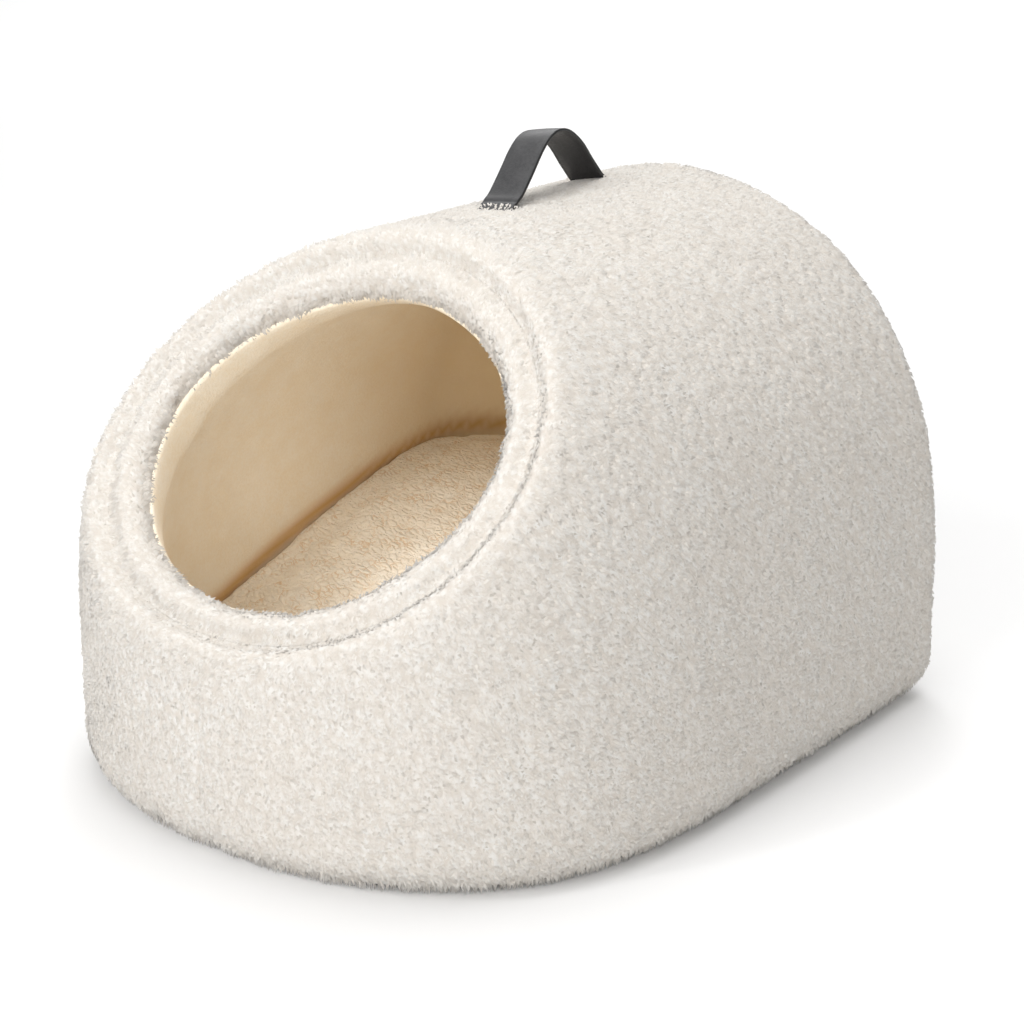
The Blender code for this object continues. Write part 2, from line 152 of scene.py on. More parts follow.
# The strap: its two feet in plan, its width, and its rise along the way
STRAP_WIDTH = 0.025
STRAP_THICK = 0.0025
STRAP_FRONT = np.array((-0.015, 0.045))
STRAP_BACK = np.array((-0.037, 0.172))
STRAP_SIDE = (
    # along, rise
    (-0.007, -0.0048),
    (-0.003, -0.0036),
    (0.001, -0.0014),
    (0.006, 0.0014),
    (0.013, 0.0052),
    (0.026, 0.0165),
    (0.039, 0.0285),
    (0.051, 0.0355),
    (0.064, 0.0370),
    (0.077, 0.0335),
    (0.092, 0.0245),
    (0.106, 0.0120),
    (0.116, 0.0034),
    (0.121, -0.0008),
    (0.125, -0.0032),
    (0.129, -0.0048),
)

# Along the strap: its sewn-in ends, and the low stretches under which no pile is rooted
STRAP_ENDS = (-0.003, 0.123)
STRAP_BARE = ((-0.0015, 0.011), (0.113, 0.1205))
END_FADE = 0.003
END_MOUND = 0.0022
TOP_ONLY = 0.3  # the height above which points can be near the strap

# The seam at the front's middle
FRONT_SEAM_WIDTH = 0.0035
FRONT_SEAM_DEPTH = 0.0022
FRONT_SEAM_TOP = 0.125
FRONT_SEAM_Y = -0.15  # the seam lies before this place along the bed
FRONT_SEAM_BARE = (0.001, 0.12)  # half the width without roots, and its top

# The lie of the pile on the body, and the height under which it hangs over the base cloth's edge
NAP_DOWN = np.array((0.0, 0.75, -0.8))
HEM_HANG = 0.016
UPWARD = np.array((0.0, 0.0, 1.0))
BACKWARD = np.array((0.0, 1.0, 0.0))
SIDE_X = 0.11  # where the sides' pile ends and the top's begins
LOCK_FLATNESS = 0.3
LOCK_SUNK = 0.0010  # how deep a lock starts under the skin
LOCK_CORNERS = 5
LOCK_FACES = np.array(((0, 2, 1), (0, 3, 2), (0, 1, 3), (1, 2, 4), (2, 3, 4), (3, 1, 4)))

# The stage: the floor, the lamps and the spot through the mouth
FLOOR_HALF = 5.0
FLOOR_DROP = 0.0002
LAMP_TARGET = (0, 0, 0.15)
SOFT_LAMPS = (
    # name, place, size, power, target; the backdrop's lamp points straight down
    ("key", (-0.2, -2.4, 1.8), 1.6, 37.0, LAMP_TARGET),
    ("fill", (1.8, -1.8, 1.4), 2.4, 39.5, LAMP_TARGET),
    ("top", (0.0, 0.6, 2.6), 2.2, 40.5, LAMP_TARGET),
    ("backdrop", (-2.2, 3.0, 2.4), 2.5, 69.0, None),
)
SPOT_PLACE = (-0.7, -1.5, 1.75)
SPOT_TARGET = (0.01, -0.06, 0.18)
SPOT_POWER = 68.0
SPOT_SIZE = 0.2
SPOT_ANGLE = math.radians(13)

# The photograph's view
CAMERA_PLACE = (0.9404, -1.1355, 0.6654)
CAMERA_TARGET = (0.0266, 0.0077, 0.1515)
CAMERA_LENS = 86.1
CAMERA_SENSOR = 36.0


# The form of the bed


def half_width(y, z, inset):
    """Half the body's width: a rounded nose in plan times an arch in height, drawn in all round by
    inset."""
    ahead = np.clip((WIDEST_Y - y) / (WIDEST_Y - FRONT_Y - inset), 0, 1)
    behind = np.clip((y - WIDEST_Y) / (SEAM_Y - WIDEST_Y), 0, 1)
    rise = np.clip(z / (HEIGHT - inset), 0, 1)
    plan = (1 - ahead**NOSE_ALONG) ** (1 / NOSE_ACROSS) - BACK_TAPER * behind**2
    return (HALF_WIDTH - inset) * plan * (1 - rise**ARCH_UP) ** (1 / ARCH_ACROSS)


def top_height(x, y):
    """The height of the body's top over a point: the arch of half_width, solved for the height."""
    return HEIGHT * (1 - np.abs(x / half_width(y, 0, 0)) ** ARCH_ACROSS) ** (1 / ARCH_UP)


def quarter_drop(past, radius):
    """How far a quarter circle has fallen away at a distance past its start."""
    return radius - np.sqrt(radius**2 - np.clip(past, 0, radius) ** 2)


def outer_inset(depth):
    """The outside, drawn in by depth, and further at the hem and at the back seam."""

    def inset(y, z):
        seam = SEAM_PULL * np.clip((y - SEAM_Y) / SEAM_RUN + 1, 0, 1) ** 2
        return depth + quarter_drop(HEM_ROUND - z, HEM_ROUND) + seam

    return inset


def room_inset(extra, corner):
    """The inside of the padding, drawn in by extra, with the back corners rounded."""
    start = INNER_BACK_Y - extra - corner

    def inset(y, z):
        return WALL + extra + quarter_drop(y - start, corner) + 0 * z

    return inset


def seam_y(z):
    """The back seam's place along the bed, drawn in near the floor as the hem is."""
    return SEAM_Y - quarter_drop(HEM_ROUND - z, HEM_ROUND)


def inside_end(z):
    """Where the wrap's inner face stops along the bed, at the back panel."""
    return INSIDE_END_Y + 0 * z


def anywhere(z):
    """No stop along the bed."""
    return 1.0 + 0 * z


def halve(holds, near, far):
    """The largest value up to which a test holds, for a whole array at once, by halving."""
    for _ in range(HALVINGS):
        half = (near + far) / 2
        kept = holds(half)
        near = np.where(kept, half, near)
        far = np.where(kept, far, half)
    return near


def turned(angle):
    """The direction of each half plane round the mouth's axis, from +X towards the slope's top."""
    angle = np.asarray(angle)[..., None]
    return np.cos(angle) * ACROSS + np.sin(angle) * UP_SLOPE


def place(angle, out, depth):
    """Points in the mouth's half planes, out from its axis and deep below its slope."""
    return MIDDLE + np.asarray(out)[..., None] * turned(angle) + np.asarray(depth)[..., None] * OUTWARD


def surface(angle, depth, inset, back_y=1.0):
    """Points where the half planes leave the form drawn in by inset, at depths below the mouth."""
    start = MIDDLE + np.asarray(depth)[..., None] * OUTWARD
    direction = turned(angle)

    def inside(distance):
        x, y, z = np.moveaxis(start + distance[..., None] * direction, -1, 0)
        return (np.abs(x) < half_width(y, z, inset(y, z))) & (y < back_y)

    shape = np.broadcast_shapes(start.shape, direction.shape)[:-1]
    distance = halve(inside, np.full(shape, 0.01), np.full(shape, 0.65))
    return start + distance[..., None] * direction


def reach(angle, depth, inset):
    """How far the form drawn in by inset lies from the mouth's axis."""
    return ((surface(angle, depth, inset) - MIDDLE) * turned(angle)).sum(axis=-1)


def end_depth(angle, inset, low_z, stop_y, back_y=1.0):
    """How deep a form runs in each half plane before it meets a height or a place along the bed."""

    def going(fall):
        _, y, z = np.moveaxis(surface(angle, -fall, inset, back_y), -1, 0)
        return (z > low_z) & (y < stop_y(z))

    return -halve(going, np.full(np.shape(angle), 0.02), np.full(np.shape(angle), 0.60))


def spread(start, end, shares):
    """Values from start to end, a row for each pair and a column for each share."""
    return start[:, None] + (end - start)[:, None] * shares


def mouth_reach(angle):
    """The mouth's oval: two half superellipses, fuller below than above, that share their width."""
    across, along = np.cos(angle), np.sin(angle)
    fullness = np.where(along > 0, FULLNESS_UP, FULLNESS_DOWN)
    height = np.where(along > 0, MOUTH_UP, MOUTH_DOWN)
    total = np.abs(across / MOUTH_HALF) ** fullness + np.abs(along / height) ** fullness
    return total ** (-1 / fullness)


def cushion_height(y):
    """The cushion's edge against the wall: low and level in front, then a quarter sine up to the back."""
    along = (y - CUSHION_RISE_Y) / (INNER_BACK_Y - CUSHION_RISE_Y)
    along = np.clip((along + np.sqrt(along**2 + 0.004)) / 2, 0, 1)
    return CUSHION_FRONT + (CUSHION_BACK - CUSHION_FRONT) * np.sin(along * math.pi / 2)


def valley_reach(angle):
    """The valley between the wrap's edge and the collar."""
    outside = reach(angle, 0 * angle, outer_inset(0))
    return outside - VALLEY_SHARE * (outside - mouth_reach(angle))


# Noise on whole arrays


def lattice(cell, seed):
    """A fixed number from 0 to 1 for each whole-numbered cell: its three indices, mixed by multiplying and
    shifting."""
    index = cell.astype(np.int64).astype(np.uint32)
    mixed = index[..., 0] * np.uint32(73856093)
    mixed = mixed ^ (index[..., 1] * np.uint32(19349663))
    mixed = mixed ^ (index[..., 2] * np.uint32(83492791)) ^ np.uint32(seed * 7919 + 17)
    for _ in range(2):
        mixed = (mixed ^ (mixed >> np.uint32(16))) * np.uint32(0x45D9F3B)
    return (mixed ^ (mixed >> np.uint32(16))).astype(np.float64) / 4294967295.0


def soft_noise(points, size, seed):
    """Smooth noise from -1 to 1: the cell corners' numbers, blended by a smoothed share of the way along
    each axis."""
    scaled = points / size
    base = np.floor(scaled)
    share = scaled - base
    share = share * share * (3 - 2 * share)
    total = 0
    for corner in np.ndindex(2, 2, 2):
        corner = np.array(corner)
        weight = np.where(corner == 1, share, 1 - share).prod(axis=-1)
        total = total + weight * lattice(base + corner, seed)
    return 2 * total - 1


def clumps(points, size, seed):
    """Rounded lumps from 0 to 1: one less the squared distance, in cells, to the nearest of one jittered
    point a cell."""
    scaled = points / size
    base = np.floor(scaled)
    nearest = np.full(points.shape[:-1], 4.0)
    for corner in np.ndindex(3, 3, 3):
        cell = base + np.array(corner) - 1
        jitter = np.stack([lattice(cell, seed + k) for k in range(3)], axis=-1)
        nearest = np.minimum(nearest, ((cell + jitter - scaled) ** 2).sum(axis=-1))
    return 1 - np.clip(nearest, 0, 1)


# Meshes


def slopes(points, axis, joined):
    """The change of a grid's points along one axis, from both neighbours, also across the join if
    joined."""
    if joined:
        return np.roll(points, -1, axis) - np.roll(points, 1, axis)
    return np.gradient(points, axis=axis)


def grid_normals(points, ring=True, closed=True):
    """Unit normals of a grid: the cross product of its slopes along rows and columns."""
    normal = np.cross(slopes(points, 0, ring), slopes(points, 1, closed))
    return normal / np.maximum(np.linalg.norm(normal, axis=-1, keepdims=True), 1e-12)


def grid_faces(rows, columns, ring, closed):
    """Corner indices of a grid's four-sided faces, joined end to end where asked."""
    index = np.arange(rows * columns).reshape(rows, columns)
    if ring:
        index = np.vstack((index, index[:1]))
    if closed:
        index = np.hstack((index, index[:, :1]))
    corners = (index[:-1, :-1], index[1:, :-1], index[1:, 1:], index[:-1, 1:])
    return np.stack(corners, axis=-1).reshape(-1, 4)


def mesh_of(name, vertices, faces):
    """A mesh from whole arrays of points and of faces that all have the same number of corners."""
    data = bpy.data.meshes.new(name)
    data.vertices.add(len(vertices))
    data.vertices.foreach_set("co", np.ascontiguousarray(vertices, np.float32).ravel())
    sides = faces.shape[1]
    data.loops.add(faces.size)
    data.loops.foreach_set("vertex_index", np.ascontiguousarray(faces, np.int32).ravel())
    data.polygons.add(len(faces))
    data.polygons.foreach_set("loop_start", np.arange(0, faces.size, sides, dtype=np.int32))
    data.update(calc_edges=True)
    data.validate()
    return data


def grid_mesh(name, points, ring=True, closed=True, merge=0.0):
    """A grid as a mesh, with points that coincide merged and its faces turned outwards where it is
    closed."""
    faces = grid_faces(points.shape[0], points.shape[1], ring, closed)
    data = mesh_of(name, points.reshape(-1, 3), faces)
    if merge:
        shaped = bmesh.new()
        shaped.from_mesh(data)
        bmesh.ops.remove_doubles(shaped, verts=shaped.verts, dist=merge)
        bmesh.ops.recalc_face_normals(shaped, faces=shaped.faces)
        shaped.to_mesh(data)
        shaped.free()
    data.shade_smooth()
    return data


def set_values(data, name, values):
    """A number for each point of a mesh, which its material reads by name."""
    data.attributes.new(name, "FLOAT", "POINT").data.foreach_set("value", values.astype(np.float32))


def add_piece(name, data, material, slot, *nodes):
    """One object of the bed: in the scene, on its body, with its finish, and standing for its solids."""
    data.materials.clear()
    data.materials.append(material)
    piece = bpy.data.objects.new(name, data)
    bpy.context.scene.collection.objects.link(piece)
    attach(piece, "root")
    if nodes:
        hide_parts(*nodes)
    return piece


# The fleece's skin, in which the pile is rooted


def rim_share(points, fade):
    """One at the mouth's slope and above it, falling in a straight line to none at a depth of fade."""
    depth = -((points - MIDDLE) * OUTWARD).sum(axis=-1)
    return np.clip(1 - depth / fade, 0, 1)


def off_joints(points):
    """None on the valley's line and on the collar's inner side, where pieces meet, and one away from
    them."""
    table = np.linspace(-math.pi, math.pi, 241)
    away = points - MIDDLE
    depth = (away * OUTWARD).sum(axis=-1)
    across, up = (away * ACROSS).sum(axis=-1), (away * UP_SLOPE).sum(axis=-1)
    out = np.hypot(across, up)
    angle = np.arctan2(up, across)
    off_valley = (out - np.interp(angle, table, valley_reach(table))) / JOINT_FADE
    valley = np.exp(-(off_valley**2)) * (depth > -0.012)
    inside = out < np.interp(angle, table, mouth_reach(table)) + 0.006
    inner = inside * np.clip(-(depth + 0.006) / 0.005, 0, 1)
    return (1 - valley) * (1 - inner)


def skin_relief(points, normals, settings):
    """Moves a skin along its normals by broad soft dents, plus puffy lumps that are low below the rim."""
    broad = soft_noise(points, settings.dent_size, 3) * settings.dent_depth
    near_rim = 0.15 + 0.85 * rim_share(points, ROLL_DEPTH)
    puffs = (clumps(points, settings.puff_size, 11) - 0.55) * settings.puff_height * near_rim
    return points + normals * ((broad + puffs) * off_joints(points))[..., None]


def wrap_skin(settings):
    """The wrap's closed skin, and the row at which its outside starts. In each half plane its profile runs
    up the inner face, over the roll, down the outside and under at the hem. The roll is a quadratic curve
    towards its shoulder, and it falls into the valley by a cosine."""
    count = 480
    angles = np.linspace(-math.pi / 2, 1.5 * math.pi, count, endpoint=False)
    column = angles[:, None]
    depth = settings.pile_root
    outer = outer_inset(depth)
    flat = np.ones(count)
    hem_share = np.sin(np.linspace(0, 1, 12)[1:] * HEM_TURN) / math.sin(HEM_TURN)
    outer_end = end_depth(angles, outer, HEM_END, seam_y)
    round_start = end_depth(angles, outer, HEM_ROUND, lambda z: SEAM_Y - SEAM_RUN + 0 * z)
    room = room_inset(0, CORNER_ROUND)
    inner_end = end_depth(angles, room, PADDING_FOOT, inside_end)
    outside = surface(column, spread(-ROLL_DEPTH * flat, round_start, np.linspace(0, 1, 97)), outer)
    hem = surface(column, spread(round_start, outer_end, hem_share), outer)
    ledge = -(COLLAR_DEPTH + GAP) * flat
    inside = surface(column, spread(ledge, inner_end, np.linspace(0, 1, 7)), room)
    ridge = reach(angles, 0 * angles, outer_inset(0)) - SKIN_SHARE * depth
    valley = valley_reach(angles) + JOINT
    crest = (ridge + valley) / 2
    top = ROLL_CREST - SKIN_SHARE * depth
    foot = outside[:, 0]
    share = np.linspace(0, 1, 13)[1:, None, None]
    shoulder = place(angles, ridge - 0.5 * ROLL_CREST, top * flat)
    summit = place(angles, crest, top * flat)
    roll = (1 - share) ** 2 * foot + 2 * share * (1 - share) * shoulder + share**2 * summit
    fall = np.linspace(0, 1, 9)[1:]
    fall_out = crest[:, None] + (valley - crest)[:, None] * fall
    fall_down = np.tile(top + (VALLEY_FLOOR - top) * (1 - np.cos(fall * math.pi)) / 2, (count, 1))
    rebate = place(angles, valley, ledge)
    rows = (inside[:, ::-1], rebate[:, None], place(column, fall_out, fall_down)[:, ::-1])
    profile = np.concatenate((*rows, np.moveaxis(roll, 0, 1)[:, ::-1], outside[:, 1:], hem), axis=1)
    return profile, inside.shape[1] + 1


def back_skin(settings):
    """The back panel's closed skin, and how many of its rings are outside. The rings run from its middle to
    the seam and bulge by a power of their share. Then come the mitre and the flat inner face."""
    depth = settings.pile_root
    corner = corner_angle(depth)
    angles = np.linspace(corner, math.pi - corner, 260)
    outer = outer_inset(depth)
    edge = surface(angles, end_depth(angles, outer, HEM_END, seam_y), outer)
    room = room_inset(0, CORNER_ROUND)
    inner = surface(angles, end_depth(angles, room, PADDING_FOOT, inside_end), room)
    line = np.linspace(0, 1, 112)[1:-1, None]
    edge = np.vstack((edge, edge[-1] + (edge[0] - edge[-1]) * line))
    floor_inner = inner[-1] + (inner[0] - inner[-1]) * line
    floor_inner[:, 1] = INNER_BACK_Y
    inner = np.vstack((inner, floor_inner)) + np.array((0, BACK_PLAY, 0))
    middle = np.array((0, CROWN_Y, 0.45 * HEIGHT))
    shares = np.sqrt(np.linspace(0, 1, 56))[:, None]
    rings = middle + shares[..., None] * (edge - middle)
    bulge = (CROWN_Y - SEAM_Y - 0.6 * depth) * (1 - shares**CROWN_FULLNESS)
    rings[..., 1] = seam_y(rings[..., 2]) + bulge
    flat_y = INNER_BACK_Y + BACK_PLAY
    flat_ring = inner * np.array((0.78, 0, 1)) + np.array((0, flat_y, 0))
    flat_ring[:, 2] = PADDING_FOOT + (inner[:, 2] - PADDING_FOOT) * 0.86
    hub = np.tile(np.array((0, flat_y, 0.1)), (len(edge), 1))
    return np.concatenate((rings, np.stack((inner, flat_ring, hub)))).swapaxes(0, 1), len(shares)


def corner_angle(depth):
    """The half plane in which the back seam meets the floor."""
    outer = outer_inset(depth)

    def before(angle):
        end = end_depth(angle, outer, HEM_END, anywhere)
        return surface(angle, end, outer)[..., 1] < seam_y(HEM_END)

    return float(halve(before, np.array(0.0), np.array(math.pi / 2)))


def collar_seat(angle):
    """How far out the collar reaches at its foot, against the lining."""
    room = room_inset(LINING_GAP + LINING + GAP, LINING_ROUND)
    return reach(angle, np.full(angle.shape, -COLLAR_DEPTH), room)


def collar_skin(settings):
    """The collar's closed skin: a rounded top, which rises smoothly from the valley and falls as a sine to
    its inner edge, and a swept underside, carried round the mouth."""
    count = 440
    depth = settings.pile_root
    angles = np.linspace(-math.pi / 2, 1.5 * math.pi, count, endpoint=False)
    outside = valley_reach(angles) - JOINT
    mouth = mouth_reach(angles) + SKIN_SHARE * depth
    seat = collar_seat(angles)
    turn = np.linspace(0, math.pi, 26)
    across = (outside + mouth)[:, None] / 2 + (outside - mouth)[:, None] / 2 * np.cos(turn)
    share = 1 - np.cos(turn)
    start = VALLEY_FLOOR - (VALLEY_FLOOR + COLLAR_SHOULDER) * share / 2
    fat = 0.0012 * soft_noise(turned(angles) * 0.13, 0.045, 5)[:, None]
    lift = np.where(turn < math.pi / 2, share**2 * (3 - 2 * share), np.sin(turn))
    down = start + (ROLL_CREST - SKIN_SHARE * depth + fat - start) * lift
    under = np.linspace(0, 1, 13)[1:]
    inner = spread(mouth, np.maximum(seat, mouth + 0.001), under**2)
    inner_down = np.tile(-COLLAR_SHOULDER + (COLLAR_SHOULDER - COLLAR_DEPTH) * under, (count, 1))
    out = np.hstack((across, inner, outside[:, None]))
    depths = np.hstack((down, inner_down, np.full((count, 1), -COLLAR_DEPTH)))
    return place(angles[:, None], out, depths)


# The pile


def scatter(points, normals, pitch, seed):
    """Roots all over a grid: many candidates, as many to a face as its area asks, thinned to one in each
    small box."""
    across = points[1:, :-1] - points[:-1, :-1]
    along = points[:-1, 1:] - points[:-1, :-1]
    area = np.linalg.norm(np.cross(across, along), axis=-1).ravel()
    draw = np.random.default_rng(seed)
    amount = int(6 * area.sum() / pitch**2)
    face = np.searchsorted(np.cumsum(area), draw.random(amount) * area.sum())
    row, column = np.divmod(np.clip(face, 0, len(area) - 1), points.shape[1] - 1)
    u, v = draw.random((2, amount, 1))

    def blended(grid):
        low = grid[row, column] * (1 - u) + grid[row + 1, column] * u
        high = grid[row, column + 1] * (1 - u) + grid[row + 1, column + 1] * u
        return low * (1 - v) + high * v

    roots = blended(points)
    _, first = np.unique(np.floor(roots / pitch).astype(np.int64), axis=0, return_index=True)
    normal = blended(normals)[first]
    return roots[first], normal / np.linalg.norm(normal, axis=1, keepdims=True)


def unit(vectors):
    """The same directions at length one."""
    return vectors / np.maximum(np.linalg.norm(vectors, axis=-1, keepdims=True), 1e-9)


def combed(points):
    """The way the pile is brushed: away from the mouth on its rim, and back and down elsewhere."""
    away = points - MIDDLE
    away = unit(away - OUTWARD * (away * OUTWARD).sum(axis=-1, keepdims=True))
    return NAP_DOWN + 1.6 * away * rim_share(points, 0.030)[:, None]


def tuft_height(points, settings):
    """How far the pile's small tufts rise at points: lumps of two sizes."""
    small = clumps(points, settings.tuft_size, 61)
    large = clumps(points, 2.2 * settings.tuft_size, 71)
    return settings.tuft_height * (0.7 * small + 0.7 * large - 0.8)


def tuft_slope(points, direction, settings):
    """The rise of the tufts along a direction, from their heights a little before and after each point."""
    step = 0.0004
    after = tuft_height(points + step * direction, settings)
    before = tuft_height(points - step * direction, settings)
    return ((after - before) / (2 * step))[:, None] * direction


def locks(name, roots, normals, settings, seed):
    """Locks of pile in one mesh, brushed flat. Each starts under the skin, is widest at a ring of three
    points and ends in a tip a little off the skin, further on the rim. They rise and fall with the tufts,
    and their normals lean with the tufts' slopes. Length, width and curl have a random part. Locks at the
    collar's inner edge are longer, and those at the strap's ends stand higher, so that they close over the
    ends. At the hem their tips hang down over the base cloth's edge."""
    draw = np.random.default_rng(seed)
    count = len(roots)
    nap = combed(roots)
    lie = unit(nap - normals * (nap * normals).sum(axis=-1, keepdims=True))
    swirl = 1.0 * soft_noise(roots, 0.022, seed + 1) + draw.normal(0, 0.45, count)
    lie = lie * np.cos(swirl)[:, None] + np.cross(normals, lie) * np.sin(swirl)[:, None]
    side = np.cross(normals, lie)
    lump = tuft_height(roots, settings)
    slope = tuft_slope(roots, lie, settings) + tuft_slope(roots, side, settings)
    facing = unit(normals - settings.tuft_shade * slope)
    edge = inner_edge(roots, normals)
    tall = (1 + 0.35 * soft_noise(roots, 0.007, seed + 2)) * draw.uniform(0.8, 1.2, count) * (1 + 0.1 * edge)
    length = settings.pile_length * tall[:, None]
    width = settings.lock_width * draw.uniform(0.75, 1.3, count)[:, None]
    curl = draw.normal(0, 0.25, count)[:, None]
    rise = settings.lock_rise * (1 + rim_share(roots, 0.015) + 0.4 * edge) * tall
    rise = (rise * draw.uniform(0.3, 1.7, count))[:, None]
    roots = roots + (lump + END_MOUND * over_strap(roots))[:, None] * normals
    start = roots - LOCK_SUNK * normals
    bend = roots + 0.35 * rise * normals + 0.4 * length * lie
    tip = roots + rise * normals + length * (lie + curl * side)
    low = np.clip(1 - roots[:, 2:] / HEM_HANG, 0, 1)
    tip += low * (roots + 0.0012 * normals - 1.8 * length * UPWARD - tip)
    tip[:, 2] = np.maximum(tip[:, 2], BASE_LOW.z + 0.0005)
    ahead = unit(tip - roots)
    up = unit(np.cross(side, ahead))
    ring = []
    shaded = [unit(facing - 0.3 * ahead)]
    for corner in (0, 1, 2):
        angle = 2 * math.pi * corner / 3
        away = math.cos(angle) * up + math.sin(angle) * side
        ring.append(bend + width * (LOCK_FLATNESS * math.cos(angle) * up + math.sin(angle) * side))
        shaded.append(unit(settings.softness * facing + (1 - settings.softness) * away))
    shaded.append(unit(facing + 0.3 * ahead))
    vertices = np.stack((start, *ring, tip), axis=1).reshape(-1, 3)
    faces = (np.arange(count)[:, None, None] * LOCK_CORNERS + LOCK_FACES).reshape(-1, 3)
    data = mesh_of(name, vertices, faces)
    data.shade_smooth()
    data.normals_split_custom_set_from_vertices(np.stack(shaded, axis=1).reshape(-1, 3).astype(np.float32))
    # Painted shade: locks are coloured darker and warmer towards their roots ("along" 0) and in the dips
    # between tufts, by a share that falls with tuft height and has a random part.
    set_values(data, "along", np.tile((0, 0.55, 0.55, 0.55, 1.0), count))
    height = np.clip(lump / settings.tuft_height / 0.55 + 0.1, 0, 1)
    set_values(data, "tint", np.repeat(np.clip(0.25 * draw.random(count) + height, 0, 1), LOCK_CORNERS))
    return data


def inner_edge(points, normals):
    """One on the collar's inner side at the lining's edge, falling off as a bell above and below it."""
    away = points - MIDDLE
    depth = (away * OUTWARD).sum(axis=-1)
    away = unit(away - OUTWARD * depth[:, None])
    inwards = np.clip(-(away * normals).sum(axis=-1) * 1.5, 0, 1)
    return inwards * np.exp(-(((depth - LINING_EDGE - 0.002) / 0.003) ** 2))


def over_strap(points):
    """One over the strap's ends, falling off as a bell along them and past its edges."""
    along, across = strap_place(points)
    ends = sum(np.exp(-(((along - end) / END_FADE) ** 2)) for end in STRAP_ENDS)
    beside = np.exp(-((np.maximum(np.abs(across) - STRAP_WIDTH / 2, 0) / END_FADE) ** 2))
    return ends * beside * (points[:, 2] > TOP_ONLY)


def strap_place(points):
    """Where points lie by the strap: along it from its front foot, and across it."""
    along = unit(STRAP_BACK - STRAP_FRONT)
    away = points[:, :2] - STRAP_FRONT
    return away @ along, away @ np.array((along[1], -along[0]))


def carries_pile(points):
    """True for roots off the front seam and off the strap's low stretches, but not for its very ends."""
    along, across = strap_place(points)
    x, y, z = points.T
    half, top = FRONT_SEAM_BARE
    seam = (np.abs(x) < half) & (y < FRONT_SEAM_Y) & (z < top)
    low = sum((along > start) & (along < end) for start, end in STRAP_BARE) > 0
    under = low & (np.abs(across) < STRAP_WIDTH / 2 + 0.0005) & (z > TOP_ONLY)
    return ~(under | seam)


# Node groups and materials


def new_group(name, inputs, outputs):
    """A shader node group with named sockets: each input is (name, kind, default), each output (name,
    kind)."""
    tree = bpy.data.node_groups.new(name, "ShaderNodeTree")
    for label, kind, value in inputs:
        socket = tree.interface.new_socket(label, in_out="INPUT", socket_type="NodeSocket" + kind)
        socket.default_value = value
    for label, kind in outputs:
        tree.interface.new_socket(label, in_out="OUTPUT", socket_type="NodeSocket" + kind)
    return tree, tree.nodes.new("NodeGroupInput").outputs, tree.nodes.new("NodeGroupOutput").inputs


def feed(tree, socket, source):
    """Gives an input its value: linked from another socket, or plain."""
    if isinstance(source, bpy.types.NodeSocket):
        tree.links.new(source, socket)
    else:
        socket.default_value = source


def add_node(tree, kind, inputs=None, **options):
    """The outputs of a new shader node with its options, each of whose named inputs is linked or plain."""
    node = tree.nodes.new("ShaderNode" + kind)
    for name, value in options.items():
        setattr(node, name, value)
    for label, source in (inputs or {}).items():
        feed(tree, node.inputs[label], source)
    return node.outputs


def object_points(tree):
    """The points of a piece in its own coordinates."""
    return add_node(tree, "TexCoord")["Object"]


def laid_points(tree, given):
    """The same points, turned and drawn out as a group's Turn and Stretch say."""
    inputs = {"Vector": object_points(tree), "Rotation": given["Turn"], "Scale": given["Stretch"]}
    return add_node(tree, "Mapping", inputs, vector_type="TEXTURE")["Vector"]


def attribute(tree, name):
    """The number that the mesh holds under a name."""
    return add_node(tree, "Attribute", attribute_name=name)["Fac"]


def blend(tree, factor, first, second):
    """A colour mix: each of its three inputs is a socket or a plain value."""
    return add_node(tree, "Mix", {"Factor": factor, "A": first, "B": second}, data_type="RGBA")["Result"]


def mottle_group():
    """Two colours, blended by a broad and a fine noise."""
    inputs = (
        ("Colour A", "Color", (1, 1, 1, 1)),
        ("Colour B", "Color", (1, 1, 1, 1)),
        ("Broad Scale", "Float", 30.0),
        ("Fine Scale", "Float", 400.0),
    )
    tree, given, result = new_group("cloth mottle", inputs, (("Colour", "Color"), ("Mask", "Float")))
    points = object_points(tree)
    noises = []
    for scale in ("Broad Scale", "Fine Scale"):
        noise = {"Vector": points, "Scale": given[scale], "Detail": 3.0}
        noises.append(add_node(tree, "TexNoise", noise)["Fac"])
    both = add_node(tree, "Math", dict(enumerate(noises)), operation="ADD")[0]
    mask = add_node(tree, "MapRange", {"Value": both, "From Min": 0.7, "From Max": 1.3})["Result"]
    feed(tree, result["Colour"], blend(tree, mask, given["Colour A"], given["Colour B"]))
    feed(tree, result["Mask"], mask)
    return tree


def nap_group():
    """Short fibres as a bump: a noise drawn out along one direction, over a smooth cell pattern of small
    clumps."""
    inputs = (
        ("Fibre Scale", "Float", 300.0),
        ("Clump Scale", "Float", 200.0),
        ("Clumping", "Float", 0.5),
        ("Stretch", "Vector", (1.0, 1.0, 1.0)),
        ("Turn", "Vector", (0.0, 0.0, 0.0)),
        ("Strength", "Float", 0.4),
        ("Height", "Float", 0.001),
    )
    tree, given, result = new_group("cloth nap", inputs, (("Normal", "Vector"), ("Top", "Float")))
    laid = laid_points(tree, given)
    fibre = {"Vector": laid, "Scale": given["Fibre Scale"], "Detail": 3.0, "Distortion": 0.5}
    fibres = add_node(tree, "TexNoise", fibre)["Fac"]
    cells = add_node(tree, "TexVoronoi", {"Vector": laid, "Scale": given["Clump Scale"]})["Distance"]
    rounded = add_node(tree, "Math", {0: 1.0, 1: cells}, operation="SUBTRACT")[0]
    top = add_node(tree, "Mix", {"Factor": given["Clumping"], "A": fibres, "B": rounded})["Result"]
    bump = {"Height": top, "Strength": given["Strength"], "Distance": given["Height"]}
    feed(tree, result["Normal"], add_node(tree, "Bump", bump)["Normal"])
    feed(tree, result["Top"], top)
    return tree


